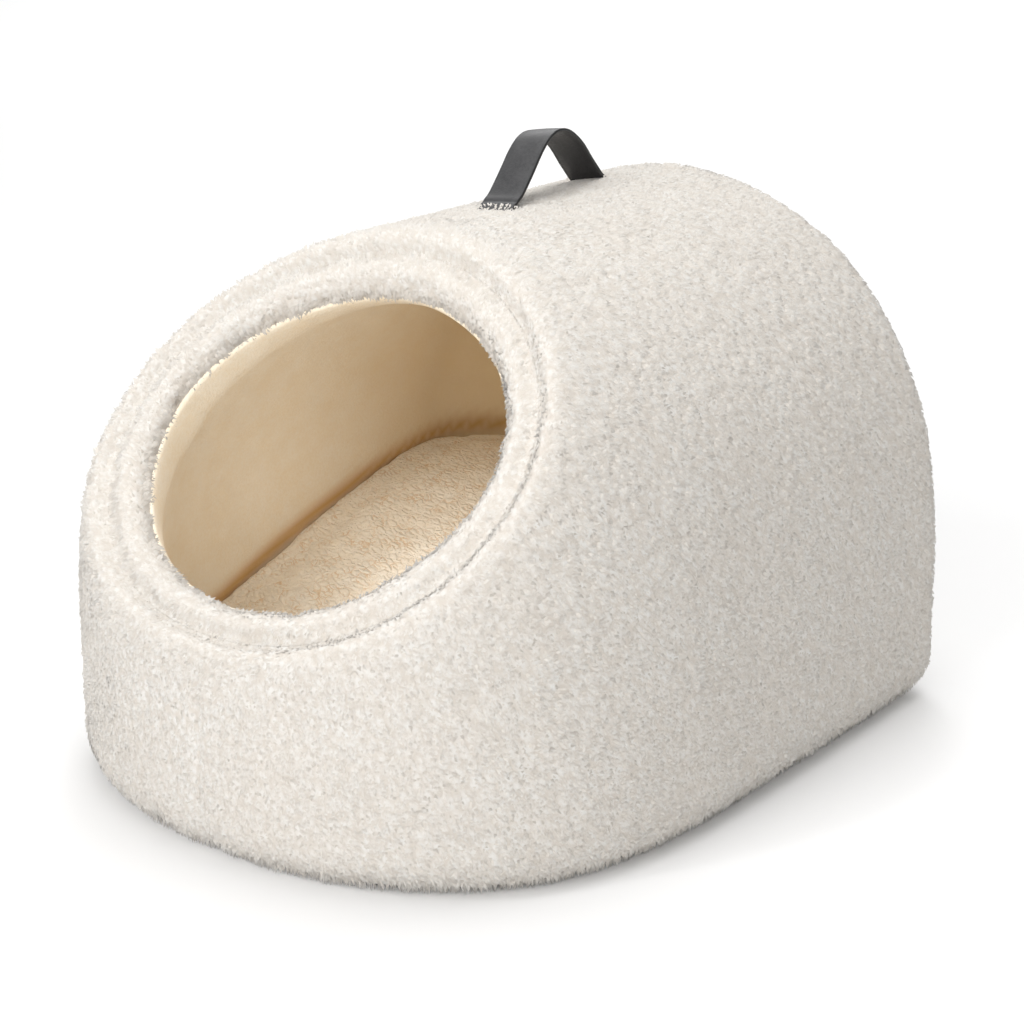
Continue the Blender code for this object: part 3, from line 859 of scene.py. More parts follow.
def weave_group():
    """A plain weave as a bump: the product of two waves that cross."""
    inputs = (("Scale", "Float", 600.0), ("Strength", "Float", 0.4))
    tree, given, result = new_group("plain weave", inputs, (("Normal", "Vector"),))
    wave = {"Vector": object_points(tree), "Scale": given["Scale"], "Distortion": 0.4}
    waves = [add_node(tree, "TexWave", wave, bands_direction=direction)["Fac"] for direction in ("X", "Y")]
    crossed = add_node(tree, "Math", dict(enumerate(waves)), operation="MULTIPLY")[0]
    bump = {"Height": crossed, "Strength": given["Strength"], "Distance": 0.0004}
    feed(tree, result["Normal"], add_node(tree, "Bump", bump)["Normal"])
    return tree


def crease_group():
    """A crumpled cloth: cells bent by a noise, each a small pillow, with a thin line along part of their
    borders, which the plush uses for painted shade in its creases."""
    inputs = (
        ("Scale", "Float", 200.0),
        ("Width", "Float", 0.06),
        ("Bend", "Float", 0.006),
        ("Stretch", "Vector", (1.0, 1.0, 1.0)),
        ("Turn", "Vector", (0.0, 0.0, 0.0)),
    )
    tree, given, result = new_group("crepe creases", inputs, (("Line", "Float"), ("Pillow", "Float")))
    points = object_points(tree)
    wander = add_node(tree, "TexNoise", {"Vector": points, "Scale": 160.0, "Detail": 2.0})["Color"]
    bend = {0: wander, 1: given["Bend"], 2: laid_points(tree, given)}
    bent = add_node(tree, "VectorMath", bend, operation="MULTIPLY_ADD")["Vector"]
    cells = {"Vector": bent, "Scale": given["Scale"]}
    border = add_node(tree, "TexVoronoi", cells, feature="DISTANCE_TO_EDGE")["Distance"]
    near = {"Value": border, "From Max": given["Width"], "To Min": 1.0, "To Max": 0.0}
    pillow = {"Value": border, "From Max": 0.35}
    line = add_node(tree, "MapRange", near, interpolation_type="SMOOTHSTEP")["Result"]
    rounded = add_node(tree, "MapRange", pillow, interpolation_type="SMOOTHSTEP")["Result"]
    patches = add_node(tree, "TexNoise", {"Vector": points, "Scale": 90.0})["Fac"]
    shown = add_node(tree, "MapRange", {"Value": patches, "From Min": 0.45, "From Max": 0.62})["Result"]
    feed(tree, result["Line"], add_node(tree, "Math", {0: line, 1: shown}, operation="MULTIPLY")[0])
    feed(tree, result["Pillow"], rounded)
    return tree


def use_group(tree, name, maker, values):
    """The outputs of a group in a material, with its own values. The group is made when it is first asked
    for."""
    node = tree.nodes.new("ShaderNodeGroup")
    node.node_tree = bpy.data.node_groups.get(name) or maker()
    for label, value in values.items():
        node.inputs[label].default_value = value
    return node.outputs


def colour(value):
    """A colour property with its alpha."""
    return (*value, 1.0)


def mottled(tree, light, dark, broad, fine):
    """Two colours mottled by noises of a broad and a fine scale: the colour and its mask."""
    values = {"Colour A": colour(light), "Colour B": colour(dark), "Broad Scale": broad, "Fine Scale": fine}
    return use_group(tree, "cloth mottle", mottle_group, values)


def cloth_material(name, roughness, sheen=0.0, sheen_tint=(1, 1, 1, 1), specular=0.2):
    """A Principled material for a cloth, its node tree and its shader's inputs, with the plain values
    set."""
    material = bpy.data.materials.new(name)
    material.use_nodes = True
    shader = material.node_tree.nodes["Principled BSDF"].inputs
    shader["Roughness"].default_value = roughness
    shader["Specular IOR Level"].default_value = specular
    shader["Sheen Weight"].default_value = sheen
    shader["Sheen Roughness"].default_value = 0.5
    shader["Sheen Tint"].default_value = sheen_tint
    return material, material.node_tree, shader


def fleece_material(settings, with_locks):
    """Cream fleece, mottled. Its locks carry painted shade, darker and warmer, at their roots and in the dips
    between tufts. The skin under them has combed fibres in small clumps, with the same painted shade in the
    furrows between these."""
    name = "fleece locks" if with_locks else "fleece skin"
    if name in bpy.data.materials:
        return bpy.data.materials[name]
    material, tree, shader = cloth_material(name, 0.95, 0.15)
    # The root colour is painted shade: it darkens the locks towards their roots and in the dips between
    # tufts, and the skin in the furrows between its clumps.
    root = colour(settings.fleece_root_shade)
    cream = mottled(tree, settings.fleece_tip, settings.fleece_warm, broad=22.0, fine=260.0)["Colour"]
    if with_locks:
        dip_shaded = blend(tree, attribute(tree, "tint"), root, cream)
        feed(tree, shader["Base Color"], blend(tree, attribute(tree, "along"), root, dip_shaded))
        return material
    fibres = {"Fibre Scale": 900.0, "Clump Scale": 240.0, "Clumping": 0.55, "Strength": 0.5, "Height": 0.0012}
    lie = {"Stretch": (1.0, 1.0, 2.2), "Turn": (math.radians(45), 0.0, 0.0)}
    nap = use_group(tree, "cloth nap", nap_group, {**fibres, **lie})
    # Painted shade in the furrows between the skin's clumps.
    top = add_node(tree, "MapRange", {"Value": nap["Top"], "From Min": 0.35, "From Max": 0.65})["Result"]
    feed(tree, shader["Base Color"], blend(tree, top, root, cream))
    feed(tree, shader["Normal"], nap["Normal"])
    return material


def velour_material(settings):
    """Beige velour with a fine grain, with painted warm shade towards the back and the right of the hollow,
    and a painted brown shade in the crevice along the cushion's edge."""
    material, tree, shader = cloth_material("beige velour", 0.85, 0.2, (1.0, 0.9, 0.78, 1))
    beige = mottled(tree, settings.lining_light, settings.lining_deep, broad=45.0, fine=520.0)["Colour"]
    grain = {"Fibre Scale": 900.0, "Clump Scale": 500.0, "Clumping": 0.3, "Strength": 0.5, "Height": 0.0007}
    # Painted shade: the lining turns a warmer, deeper colour towards the back and the right of the hollow.
    warmer = blend(tree, attribute(tree, "deep"), beige, colour(settings.lining_hollow_shade))
    # Painted shade: a brown band in the crevice where the cushion meets the wall.
    rubbed = blend(tree, attribute(tree, "rubbed"), warmer, colour(settings.lining_crevice_shade))
    feed(tree, shader["Base Color"], rubbed)
    feed(tree, shader["Normal"], use_group(tree, "cloth nap", nap_group, grain)["Normal"])
    return material


def plush_material(settings):
    """Peach plush: a nap and small pillows that run across the cushion, with thin brown lines of painted
    shade in the creases between them."""
    material, tree, shader = cloth_material("peach plush", 0.9, 0.2, (1.0, 0.92, 0.82, 1))
    peach = mottled(tree, settings.cushion_light, settings.cushion_deep, broad=60.0, fine=520.0)["Colour"]
    across = {"Stretch": (2.2, 1.0, 1.0), "Turn": (0.0, 0.0, math.radians(-22))}
    crumple = {"Scale": 250.0, "Width": 0.10, "Bend": 0.005}
    creases = use_group(tree, "crepe creases", crease_group, {**crumple, **across})
    fibres = {"Fibre Scale": 600.0, "Clump Scale": 260.0, "Clumping": 0.4, "Strength": 0.6, "Height": 0.0010}
    nap = use_group(tree, "cloth nap", nap_group, {**fibres, **across})["Normal"]
    bump = {"Height": creases["Pillow"], "Normal": nap, "Strength": 0.7, "Distance": 0.0010}
    # Painted shade: thin brown lines in the creases between the pillows.
    crease_shaded = blend(tree, creases["Line"], peach, colour(settings.cushion_crease_shade))
    feed(tree, shader["Base Color"], crease_shaded)
    feed(tree, shader["Normal"], add_node(tree, "Bump", bump)["Normal"])
    return material


def canvas_material(settings):
    """Dark woven base cloth."""
    material, tree, shader = cloth_material("dark canvas", 0.85)
    dark = mottled(tree, settings.base_colour, settings.base_worn, broad=30.0, fine=700.0)["Colour"]
    weave = use_group(tree, "plain weave", weave_group, {"Scale": 420.0, "Strength": 0.5})
    feed(tree, shader["Base Color"], dark)
    feed(tree, shader["Normal"], weave["Normal"])
    return material


def leather_material(settings):
    """Black leather: a fine pebbled grain, satin in patches, and darker on its painted edges; its inner face
    gets the same dark colour as painted shade."""
    material, tree, shader = cloth_material("black leather", 0.42, specular=0.5)
    worn = mottled(tree, settings.leather_colour, settings.leather_worn, broad=60.0, fine=500.0)
    grain = {"Fibre Scale": 1600.0, "Clump Scale": 900.0, "Clumping": 0.6, "Strength": 0.25, "Height": 0.0004}
    # The edge colour is the strap's real edge paint along its sides, and painted shade on its inner face.
    edged_and_shaded = blend(tree, attribute(tree, "edge"), worn["Colour"], colour(settings.leather_edge_and_under_shade))
    satin = add_node(tree, "MapRange", {"Value": worn["Mask"], "To Min": 0.36, "To Max": 0.55})["Result"]
    feed(tree, shader["Base Color"], edged_and_shaded)
    feed(tree, shader["Roughness"], satin)
    feed(tree, shader["Normal"], use_group(tree, "cloth nap", nap_group, grain)["Normal"])
    return material


# Sizes and colours that a user may change


def length_property(name, description, value):
    """A length that the sidebar shows."""
    return bpy.props.FloatProperty(name=name, description=description, default=value, unit="LENGTH")


class CatBedSizes(bpy.types.PropertyGroup):
    """The bed's sizes that don't change its solids."""

    pile_root: length_property("Pile root", "How deep the skin lies under the pile's outside", 0.0016)
    pile_length: length_property("Pile length", "The length of a lock", 0.0029)
    lock_width: length_property("Lock width", "A lock's half width at its widest", 0.00095)
    lock_pitch: length_property("Lock pitch", "The side of the small box that holds one lock", 0.0026)
    lock_rise: length_property("Lock rise", "How far a lock's tip stands off the skin", 0.0007)
    tuft_size: length_property("Tuft size", "The size of the pile's small tufts", 0.0058)
    tuft_height: length_property("Tuft height", "How far the pile's small tufts rise", 0.0018)
    puff_size: length_property("Puff size", "The size of the rim's puffy lumps", 0.0120)
    puff_height: length_property("Puff height", "How far the rim's lumps rise", 0.0024)
    dent_size: length_property("Dent size", "The size of the padding's soft dents", 0.060)
    dent_depth: length_property("Dent depth", "The depth of the padding's soft dents", 0.0010)
    softness: bpy.props.FloatProperty(
        name="Softness",
        description="How far a lock is shaded as the skin under it",
        default=0.80,
        min=0,
        max=1,
    )
    tuft_shade: bpy.props.FloatProperty(
        name="Tuft shade",
        description="How far the locks' shading follows the tufts' slopes",
        default=1.5,
        min=0,
        max=4,
    )


def colour_property(name, description, value):
    """A colour that the sidebar shows."""
    return bpy.props.FloatVectorProperty(
        name=name, description=description, default=value, size=3, min=0, max=1, subtype="COLOR"
    )


class CatBedColours(bpy.types.PropertyGroup):
    """The bed's colours."""

    fleece_tip: colour_property("Fleece tip", "The pile's tips", (0.690, 0.679, 0.651))
    fleece_warm: colour_property("Fleece warm", "The pile's warmer patches", (0.680, 0.648, 0.604))
    # Painted shade: the darker, warmer colour at the pile's roots and in the dips and furrows between tufts.
    fleece_root_shade: colour_property("Fleece root shade", "The pile's roots", (0.600, 0.555, 0.500))
    lining_light: colour_property("Lining light", "The lining's nap, brushed up", (0.97, 0.89, 0.75))
    lining_deep: colour_property("Lining deep", "The lining's nap, brushed down", (0.93, 0.81, 0.62))
    # Painted shade, warm, towards the back and the right of the hollow.
    lining_hollow_shade: colour_property("Lining hollow shade", "The lining at the back", (0.97, 0.79, 0.52))
    # Painted shade in the crevice along the cushion's edge.
    lining_crevice_shade: colour_property("Lining crevice shade", "The lining along the cushion", (0.66, 0.40, 0.16))
    cushion_light: colour_property("Cushion light", "The cushion's ridges", (0.93, 0.86, 0.75))
    cushion_deep: colour_property("Cushion deep", "The cushion's furrows", (0.90, 0.80, 0.66))
    # Painted shade in the cushion's creases.
    cushion_crease_shade: colour_property("Cushion crease shade", "The thin lines on the cushion", (0.74, 0.55, 0.36))
    base_colour: colour_property("Base cloth", "The cloth under the bed", (0.05, 0.05, 0.055))
    base_worn: colour_property("Base cloth worn", "The base cloth's lighter patches", (0.09, 0.09, 0.095))
    leather_colour: colour_property("Leather", "The strap", (0.030, 0.030, 0.032))
    leather_worn: colour_property("Leather worn", "The strap where it is rubbed", (0.060, 0.060, 0.062))
    # Real edge paint on the strap's sides, and painted shade on its inner face.
    leather_edge_and_under_shade: colour_property("Leather edge and under shade", "The strap's painted edges", (0.006, 0.006, 0.007))


class Finishes:
    """Sizes and colours together, as the pieces read them."""

    def __init__(self, scene):
        self.sources = (scene.cat_bed_sizes, scene.cat_bed_colours)

    def __getattr__(self, name):
        for source in self.sources:
            if hasattr(source, name):
                return getattr(source, name)
        raise AttributeError(name)


# The pieces


def add_skin(name, points, settings, node, closed=True):
    """A padded panel's skin as an object that stands for its solid."""
    data = grid_mesh(name, points, True, closed, merge=MERGE)
    piece = add_piece(name, data, fleece_material(settings, False), "fleece", node)


def add_pile(name, roots, normals, settings, seed):
    """Locks of pile as an object. So few and thick locks would throw hard shadows, so they throw none."""
    data = locks(name, roots, normals, settings, seed)
    piece = add_piece(name, data, fleece_material(settings, True), "fleece")
    piece.visible_shadow = False


def rejoined(rows):
    """A ring's rows with the first one again at the end, so that roots fall on its last stretch too."""
    return np.vstack((rows, rows[:1]))


def build_wrap(settings):
    """The wrap's skin, with a furrow at the front's middle where its two ends are joined."""
    points, first = wrap_skin(settings)
    normals = -grid_normals(points)
    relief = skin_relief(points[:, first:], normals[:, first:], settings)
    x, y, z = np.moveaxis(relief, -1, 0)
    front = np.exp(-((x / FRONT_SEAM_WIDTH) ** 2)) * (y < FRONT_SEAM_Y) * (z < FRONT_SEAM_TOP)
    relief = relief - normals[:, first:] * (FRONT_SEAM_DEPTH * front)[..., None]
    points = np.concatenate((points[:, :first], relief), axis=1)
    add_skin("wrap_skin", points, settings, "arch_wall")
    shown, outward = rejoined(points[:, first:-1]), rejoined(normals[:, first:-1])
    roots, normal = scatter(shown, outward, settings.lock_pitch, 21)
    kept = carries_pile(roots)
    roots, normal = roots[kept], normal[kept]
    area = np.digitize(roots[:, 0], (-SIDE_X, 0, SIDE_X))
    for number, name in enumerate(("pile_left", "pile_top_left", "pile_top_right", "pile_right")):
        chosen = area == number
        add_pile(name, roots[chosen], normal[chosen], settings, 31 + number)


def build_back(settings):
    """The back panel's skin and pile."""
    points, rings = back_skin(settings)
    normals = -grid_normals(points, True, False)
    relief = skin_relief(points[:, 1:rings], normals[:, 1:rings], settings)
    points = np.concatenate((points[:, :1], relief, points[:, rings:]), axis=1)
    add_skin("back_skin", points, settings, "back_wall", closed=False)
    shown = points[:, : rings - 1]
    backward = np.zeros(shown.shape) + BACKWARD
    roots, normal = scatter(shown, backward, settings.lock_pitch, 23)
    add_pile("pile_back", roots, normal, settings, 41)


def build_collar(settings):
    """The collar's skin and pile."""
    points = collar_skin(settings)
    normals = grid_normals(points)[:, :COLLAR_SHOWN]
    relief = skin_relief(points[:, :COLLAR_SHOWN], normals, settings)
    points = np.concatenate((relief, points[:, COLLAR_SHOWN:]), axis=1)
    add_skin("collar_skin", points, settings, "rim_collar")
    shown, outward = rejoined(relief), rejoined(normals)
    roots, normal = scatter(shown, outward, settings.lock_pitch * 0.9, 25)
    edge, edge_normal = scatter(shown[:, COLLAR_EDGE], outward[:, COLLAR_EDGE], EDGE_PITCH, 27)
    roots, normal = np.vstack((roots, edge)), np.vstack((normal, edge_normal))
    add_pile("pile_collar", roots, normal, settings, 43)


def under_collar(angles, depth, gap):
    """How far out the collar's underside lies at a depth, let in by gap: a parabola from mouth to seat."""
    mouth = mouth_reach(angles)[:, None]
    run = np.maximum(collar_seat(angles)[:, None] - mouth, 0.001)
    fall = COLLAR_DEPTH - COLLAR_SHOULDER
    share = np.clip((-depth - COLLAR_SHOULDER) / fall, 0, 1)
    return mouth + run * share**2 - gap * np.sqrt(1 + (2 * share * run / fall) ** 2)


def build_lining(settings):
    """The lining: from the collar's inner edge it hangs taut under the collar, smoothed by repeated
    averages, and follows the padding down to the floor. It is thickened on both sides."""
    angles = np.linspace(-math.pi / 2, 1.5 * math.pi, 220, endpoint=False)
    inset = room_inset(LINING_GAP + LINING_MIDDLE, LINING_ROUND)
    back_y = INNER_BACK_Y - LINING_GAP - LINING_MIDDLE
    end = end_depth(angles, inset, FLOOR + GAP, anywhere, back_y)
    top = np.full(angles.shape, -COLLAR_DEPTH - 0.004)
    wall = surface(angles[:, None], spread(top, end, np.linspace(0, 1, 56)), inset, back_y)
    away = wall - MIDDLE
    under = np.tile(np.linspace(LINING_EDGE, -COLLAR_DEPTH, 9), (len(angles), 1))
    over_wall = (away * turned(angles)[:, None]).sum(axis=-1)
    out = np.hstack((under_collar(angles, under, LINING_LET_IN), over_wall))
    depth = np.hstack((under, (away * OUTWARD).sum(axis=-1)))
    out[:, 0] = under_collar(angles, under, 0.0)[:, 0]
    for _ in range(TAUT_PASSES):
        for row in (out, depth):
            middle = row[:, 1:LINING_ROWS]
            row[:, 1:LINING_ROWS] = (row[:, : LINING_ROWS - 1] + 2 * middle + row[:, 2 : LINING_ROWS + 1]) / 4
        held = depth > -COLLAR_DEPTH
        held[:, 0] = False
        out = np.where(held, np.minimum(out, under_collar(angles, depth, LINING_LET_IN)), out)
    sheet = place(angles[:, None], out, depth)
    normals = grid_normals(sheet, True, False)
    sheet = sheet + normals * (0.0008 * soft_noise(sheet, 0.05, 9))[..., None]
    data = grid_mesh("lining_sheet", sheet, True, False)
    x, y, z = points_of(data).T
    # Painted shade: "deep" grows towards the back and the right of the hollow.
    set_values(data, "deep", np.clip((y + 0.6 * x + 0.05) / 0.20, 0, 1))
    # Painted shade: a thin band along the line where the cushion's edge meets the lining.
    set_values(data, "rubbed", np.exp(-(((z - cushion_height(y) + 0.001) / 0.007) ** 2)))
    piece = add_piece("lining_sheet", data, velour_material(settings), "velour", "lining")
    skin = piece.modifiers.new("thickness", "SOLIDIFY")
    skin.thickness = LINING_SKIN
    skin.offset = 0


def puffed(node):
    """A copy of a solid, remeshed, shrunk, and puffed by a short cloth simulation within a limit."""
    data = frame["nodes"][node].data.copy()
    shaped = bmesh.new()
    shaped.from_mesh(data)
    bmesh.ops.remove_doubles(shaped, verts=shaped.verts, dist=MERGE)
    shaped.to_mesh(data)
    shaped.free()
    piece = bpy.data.objects.new("cushion_form", data)
    bpy.context.scene.collection.objects.link(piece)
    remesh = piece.modifiers.new("even faces", "REMESH")
    remesh.mode = "VOXEL"
    remesh.voxel_size = PUFF_VOXEL
    applied(piece)
    start = points_of(piece.data)
    low, high = start.min(axis=0), start.max(axis=0)
    middle = (low + high) / 2
    shrunk = middle + (start - middle) * (1 - PUFF_ROOM / ((high - low) / 2))
    shrunk[:, 2] = np.maximum(shrunk[:, 2], low[2])
    piece.data.vertices.foreach_set("co", shrunk.astype(np.float32).ravel())
    cloth = piece.modifiers.new("filling", "CLOTH")
    cloth.settings.use_pressure = True
    cloth.settings.uniform_pressure_force = PUFF_PRESSURE
    cloth.settings.effector_weights.gravity = 0.0
    scene = bpy.context.scene
    for step in range(1, PUFF_STEPS + 1):
        scene.frame_set(step)
    applied(piece)
    scene.frame_set(1)
    moved = points_of(piece.data) - shrunk
    far = np.linalg.norm(moved, axis=1, keepdims=True)
    puffy = shrunk + moved * np.minimum(1, PUFF_LIMIT / np.maximum(far, 1e-9))
    piece.data.vertices.foreach_set("co", puffy.astype(np.float32).ravel())
    finer = piece.modifiers.new("finer", "SUBSURF")
    finer.levels = 1
    finer.render_levels = 1
    applied(piece)
    data = piece.data
    bpy.data.objects.remove(piece)
    return data


def applied(piece):
    """The object's mesh as its modifiers leave it, in place of its mesh and modifiers."""
    made = bpy.data.meshes.new_from_object(piece.evaluated_get(bpy.context.evaluated_depsgraph_get()))
    piece.modifiers.clear()
    piece.data = made


def points_of(data):
    """A mesh's points as an array."""
    points = np.empty(len(data.vertices) * 3, np.float32)
    data.vertices.foreach_get("co", points)
    return points.reshape(-1, 3).astype(float)


def normals_of(data):
    """A mesh's point normals as an array."""
    normals = np.empty(len(data.vertices) * 3, np.float32)
    data.vertex_normals.foreach_get("vector", normals)
    return normals.reshape(-1, 3).astype(float)


def fuller_edge(points, normals):
    """Tightens the cushion's rounded top edge. A point's fall below the cushion's height tells how far out
    it lies on the solid's quarter circle. It is lifted to a smaller quarter circle there, and pressed to
    the wall."""
    height = cushion_height(points[:, 1]) - 0.001
    fall = np.clip((height - points[:, 2]) / CUSHION_EDGE, 0, 1)
    out = np.sqrt(1 - (1 - fall) ** 2)
    past = np.clip(out * CUSHION_EDGE - (CUSHION_EDGE - TIGHT_EDGE), 0, TIGHT_EDGE)
    lifted = height - quarter_drop(past, TIGHT_EDGE)
    top = (fall > 0) & (normals[:, 2] > 0.03)
    points[:, 2] = np.where(top, np.maximum(lifted, points[:, 2]), points[:, 2])
    lining_face = LINING_GAP + (LINING_MIDDLE + LINING_SKIN / 2)
    room = room_inset(lining_face + WALL_GAP, LINING_ROUND)(points[:, 1], points[:, 2])
    wall = half_width(points[:, 1], points[:, 2], room)
    side = np.abs(points[:, 0])
    outwards = np.clip((side - wall + 0.030) / 0.018, 0, 1) ** 2 * (normals[:, 2] > -0.4)
    points[:, 0] += np.sign(points[:, 0]) * np.maximum(wall - side, 0) * outwards * (points[:, 1] < 0.16)
    return points


def build_cushion(settings):
    """The cushion: puffed, with broad unevenness, fine wrinkles across it as stretched noise, and small
    lumps."""
    data = puffed("cushion")
    points, normals = points_of(data), normals_of(data)
    turn = math.radians(20)
    along = points[:, 0] * math.cos(turn) - points[:, 1] * math.sin(turn)
    over = points[:, 0] * math.sin(turn) + points[:, 1] * math.cos(turn)
    laid = np.stack((along * 0.25, over, points[:, 2]), axis=-1)
    wrinkle = soft_noise(laid, 0.0065, 13) + 0.6 * soft_noise(laid, 0.0035, 14)
    lumps = clumps(points, 0.006, 15) - 0.6
    broad = 0.0012 * soft_noise(points, 0.045, 16)
    top = np.clip(normals[:, 2] * 2, 0, 1)
    points += normals * (broad + 0.00055 * wrinkle * top + 0.0007 * lumps - 0.0006)[:, None]
    points = fuller_edge(points, normals)
    points[:, 2] = np.maximum(points[:, 2], FLOOR)
    data.vertices.foreach_set("co", points.astype(np.float32).ravel())
    data.update()
    data.shade_smooth()
    data.name = "cushion_pad"
    piece = add_piece("cushion_pad", data, plush_material(settings), "plush", "cushion")


def build_base_cloth(settings):
    """The base cloth: the hem's outline drawn to a middle point on both faces, with a rounded edge."""
    turn = np.linspace(0, math.pi / 2, 60)
    front = FRONT_Y + BASE_INSET
    back = SEAM_Y - BASE_INSET
    y = WIDEST_Y - (WIDEST_Y - front) * np.cos(turn)
    y = np.concatenate((y, np.linspace(WIDEST_Y, back - BASE_CORNER, 30)[1:]))
    side = np.stack((half_width(y, 0 * y, BASE_INSET), y), axis=-1)
    round_off = np.radians((30, 60, 90))
    corner = side[-1] + BASE_CORNER * np.stack((np.cos(round_off) - 1, np.sin(round_off)), axis=-1)
    side = np.vstack((side, corner))
    outline = np.vstack((side, side[:0:-1] * np.array((-1, 1))))
    shares = np.array((0, 0.3, 0.6, 0.85, 0.97, 0.994, 1.0, 1.0, 0.994, 0.97, 0.85, 0.6, 0.3, 0))
    heights = BASE_HIGH.z * np.array((0, 0, 0, 0, 0, 0, 0.2, 0.8, 1, 1, 1, 1, 1, 1))
    flat = shares[None, :, None] * outline[:, None]
    points = np.concatenate((flat, np.tile(heights, (len(outline), 1))[..., None]), axis=-1)
    data = grid_mesh("base_sheet", points, True, False, merge=MERGE)
    piece = add_piece("base_sheet", data, canvas_material(settings), "canvas", "base_cloth")


def smooth_through(points, steps):
    """A smooth curve through points: each stretch is a cubic that keeps the slope of its neighbours."""
    points = np.array(points)
    padded = np.vstack((2 * points[0] - points[1], points, 2 * points[-1] - points[-2]))
    share = np.linspace(0, 1, steps, endpoint=False)[:, None]
    stretches = []
    for before, start, end, after in zip(padded, padded[1:], padded[2:], padded[3:]):
        bend = 2 * before - 5 * start + 4 * end - after
        twist = 3 * start - before - 3 * end + after
        stretches.append(start + 0.5 * share * (end - before + share * (bend + share * twist)))
    return np.vstack((*stretches, points[-1]))


def build_handle(settings):
    """The strap: a flat section with rounded edges and a pressed line near each, carried along its rise."""
    side = smooth_through(STRAP_SIDE, 8)
    along = unit(STRAP_BACK - STRAP_FRONT)
    across = np.array((along[1], -along[0]))
    slope = np.gradient(side[:, 1]) / np.gradient(side[:, 0])
    lean = np.arctan(slope)[:, None]
    half, edge = STRAP_WIDTH / 2, STRAP_THICK / 2
    width = np.array((-1, -0.985, -0.93, -0.88, -0.83, -0.5, 0, 0.5, 0.83, 0.88, 0.93, 0.985, 1)) * half
    press = np.array((-0.75, -0.1, 0, -0.16, 0, 0, 0, 0, 0, -0.16, 0, -0.1, -0.75)) * edge
    out = np.concatenate((width, width[::-1]))
    up = np.concatenate((edge + press, -(edge + press)[::-1]))
    crease = 0.0005 * np.exp(-(((side[:, 0] - 0.004) / 0.0011) ** 2))[:, None] * (up > 0)
    up = edge + up - crease
    forward = side[:, :1] - np.sin(lean) * up
    plan = STRAP_FRONT + forward[..., None] * along + out[None, :, None] * across
    z = top_height(plan[..., 0], plan[..., 1]) + side[:, 1:] + GAP + np.cos(lean) * up
    points = np.concatenate((plan, z[..., None]), axis=-1)
    caps = points[[0, -1]].mean(axis=1, keepdims=True).repeat(points.shape[1], axis=1)
    points = np.concatenate((caps[:1], points, caps[1:]))
    data = grid_mesh("strap", points, False, True, merge=0.000001)
    spots = points_of(data)
    rim = np.clip((np.abs(strap_place(spots)[1]) - 0.95 * half) / (0.04 * half), 0, 1)
    under = np.array((*(STRAP_FRONT + STRAP_BACK) / 2, HEIGHT))
    inner = (normals_of(data) * (under - spots)).sum(axis=-1) > 0
    # The "edge" share: real edge paint along the strap's sides, and painted shade at 0.7 on the inner face,
    # under the arch.
    set_values(data, "edge", np.maximum(rim, 0.7 * inner))
    piece = add_piece("strap", data, leather_material(settings), "leather", "handle")
    length = float(np.linalg.norm(np.diff(side, axis=0), axis=1).sum())


# The stage


def staged(name, data, spot, target=None):
    """An object of the stage in its place, turned towards a target where it has one."""
    holder = bpy.data.objects.new(name, data)
    holder.location = spot
    if target:
        holder.rotation_euler = (Vector(target) - Vector(spot)).to_track_quat("-Z", "Y").to_euler()
    bpy.context.scene.collection.objects.link(holder)
    return holder


def build_floor():
    """A pale, level floor under the bed."""
    corners = np.array(((-1, -1, 0), (1, -1, 0), (1, 1, 0), (-1, 1, 0))) * FLOOR_HALF
    data = mesh_of("floor", corners - np.array((0, 0, FLOOR_DROP)), np.array(((0, 1, 2, 3),)))
    material = bpy.data.materials.new("pale floor")
    material.use_nodes = True
    shader = material.node_tree.nodes["Principled BSDF"].inputs
    shader["Base Color"].default_value = (0.90, 0.90, 0.90, 1)
    shader["Roughness"].default_value = 0.9
    data.materials.append(material)
    staged("floor", data, (0, 0, 0))


def build_sky():
    """A soft studio sky, brighter on the left than on the right."""
    world = bpy.data.worlds.new("studio")
    world.use_nodes = True
    tree = world.node_tree
    background = tree.nodes["Background"].inputs
    background["Color"].default_value = (1.0, 0.995, 0.985, 1)
    sideways = add_node(tree, "SeparateXYZ", {"Vector": add_node(tree, "TexCoord")["Generated"]})["X"]
    dimmed = {"Value": sideways, "From Min": -0.6, "From Max": 0.3, "To Min": 0.50, "To Max": 0.16}
    feed(tree, background["Strength"], add_node(tree, "MapRange", dimmed)["Result"])
    bpy.context.scene.world = world


def build_stage():
    """A pale floor, soft studio light and the photograph's camera."""
    scene = bpy.context.scene
    scene.view_settings.view_transform = "Standard"
    build_floor()
    build_sky()
    for name, spot, size, power, target in SOFT_LAMPS:
        lamp = bpy.data.lights.new(name, "AREA")
        lamp.shape = "SQUARE"
        lamp.size = size
        lamp.energy = power
        staged(name, lamp, spot, target)
    beam = bpy.data.lights.new("mouth spot", "SPOT")
    beam.energy = SPOT_POWER
    beam.shadow_soft_size = SPOT_SIZE
    beam.spot_size = SPOT_ANGLE
    beam.spot_blend = 1.0
    staged("mouth spot", beam, SPOT_PLACE, SPOT_TARGET)
    view = bpy.data.cameras.new("camera")
    view.lens = CAMERA_LENS
    view.sensor_width = CAMERA_SENSOR
    scene.camera = staged("camera", view, CAMERA_PLACE, CAMERA_TARGET)


# The operators and the panel


class CATBED_OT_stage(bpy.types.Operator):
    """Make the floor, the lights and the camera"""

    bl_idname = "cat_bed.stage"
    bl_label = "Stage"

    def execute(self, context):
        build_stage()
        return {"FINISHED"}


class CATBED_OT_wrap(bpy.types.Operator):
    """Make the fleece wrap round the front, the sides and the top, with its pile"""

    bl_idname = "cat_bed.wrap"
    bl_label = "Wrap"

    def execute(self, context):
        build_wrap(Finishes(context.scene))
        return {"FINISHED"}


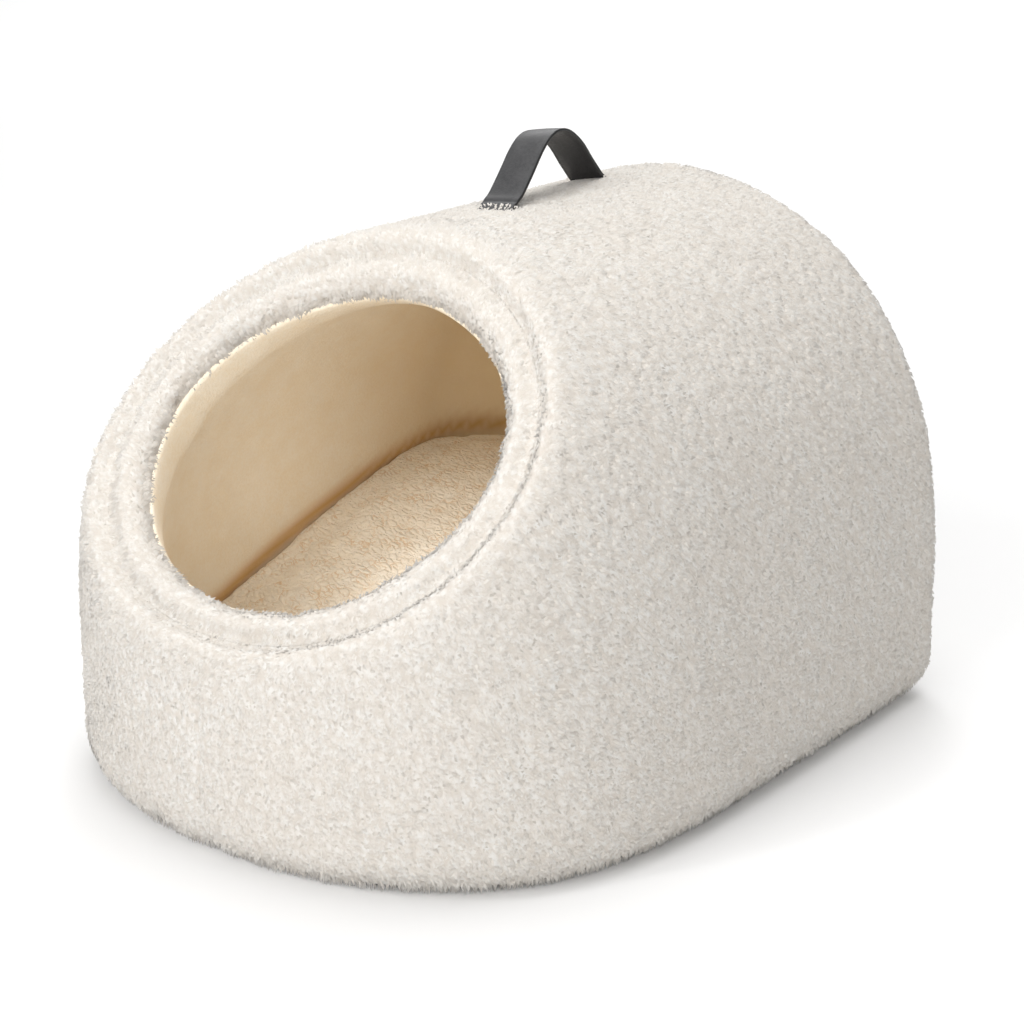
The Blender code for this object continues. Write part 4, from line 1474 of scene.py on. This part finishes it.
class CATBED_OT_back(bpy.types.Operator):
    """Make the back panel, with its pile"""

    bl_idname = "cat_bed.back"
    bl_label = "Back panel"

    def execute(self, context):
        build_back(Finishes(context.scene))
        return {"FINISHED"}


class CATBED_OT_collar(bpy.types.Operator):
    """Make the rolled collar round the mouth, with its pile"""

    bl_idname = "cat_bed.collar"
    bl_label = "Collar"

    def execute(self, context):
        build_collar(Finishes(context.scene))
        return {"FINISHED"}


class CATBED_OT_lining(bpy.types.Operator):
    """Make the velour lining"""

    bl_idname = "cat_bed.lining"
    bl_label = "Lining"

    def execute(self, context):
        build_lining(Finishes(context.scene))
        return {"FINISHED"}


class CATBED_OT_cushion(bpy.types.Operator):
    """Make the filled cushion"""

    bl_idname = "cat_bed.cushion"
    bl_label = "Cushion"

    def execute(self, context):
        build_cushion(Finishes(context.scene))
        return {"FINISHED"}


class CATBED_OT_base_cloth(bpy.types.Operator):
    """Make the cloth under the bed"""

    bl_idname = "cat_bed.base_cloth"
    bl_label = "Base cloth"

    def execute(self, context):
        build_base_cloth(Finishes(context.scene))
        return {"FINISHED"}


class CATBED_OT_handle(bpy.types.Operator):
    """Make the leather strap"""

    bl_idname = "cat_bed.handle"
    bl_label = "Strap"

    def execute(self, context):
        build_handle(Finishes(context.scene))
        return {"FINISHED"}


OPERATORS = (
    CATBED_OT_stage,
    CATBED_OT_wrap,
    CATBED_OT_back,
    CATBED_OT_collar,
    CATBED_OT_lining,
    CATBED_OT_cushion,
    CATBED_OT_base_cloth,
    CATBED_OT_handle,
)


class CATBED_PT_panel(bpy.types.Panel):
    """The bed's operators, sizes and colours, in the sidebar"""

    bl_idname = "CATBED_PT_panel"
    bl_label = "Cat bed"
    bl_space_type = "VIEW_3D"
    bl_region_type = "UI"
    bl_category = "Cat bed"

    def draw(self, context):
        for operator in OPERATORS:
            self.layout.operator(operator.bl_idname)
        for group in (context.scene.cat_bed_sizes, context.scene.cat_bed_colours):
            box = self.layout.box()
            for name in group.__annotations__:
                box.prop(group, name)


CLASSES = (CatBedSizes, CatBedColours, *OPERATORS, CATBED_PT_panel)


def register():
    for each in CLASSES:
        bpy.utils.register_class(each)
    bpy.types.Scene.cat_bed_sizes = bpy.props.PointerProperty(type=CatBedSizes)
    bpy.types.Scene.cat_bed_colours = bpy.props.PointerProperty(type=CatBedColours)


def unregister():
    del bpy.types.Scene.cat_bed_colours
    del bpy.types.Scene.cat_bed_sizes
    for each in reversed(CLASSES):
        bpy.utils.unregister_class(each)


def main():
    register()
    bpy.ops.cat_bed.stage()
    bpy.ops.cat_bed.wrap()
    bpy.ops.cat_bed.back()
    bpy.ops.cat_bed.collar()
    bpy.ops.cat_bed.lining()
    bpy.ops.cat_bed.cushion()
    bpy.ops.cat_bed.base_cloth()
    bpy.ops.cat_bed.handle()


if __name__ == "__main__":
    main()
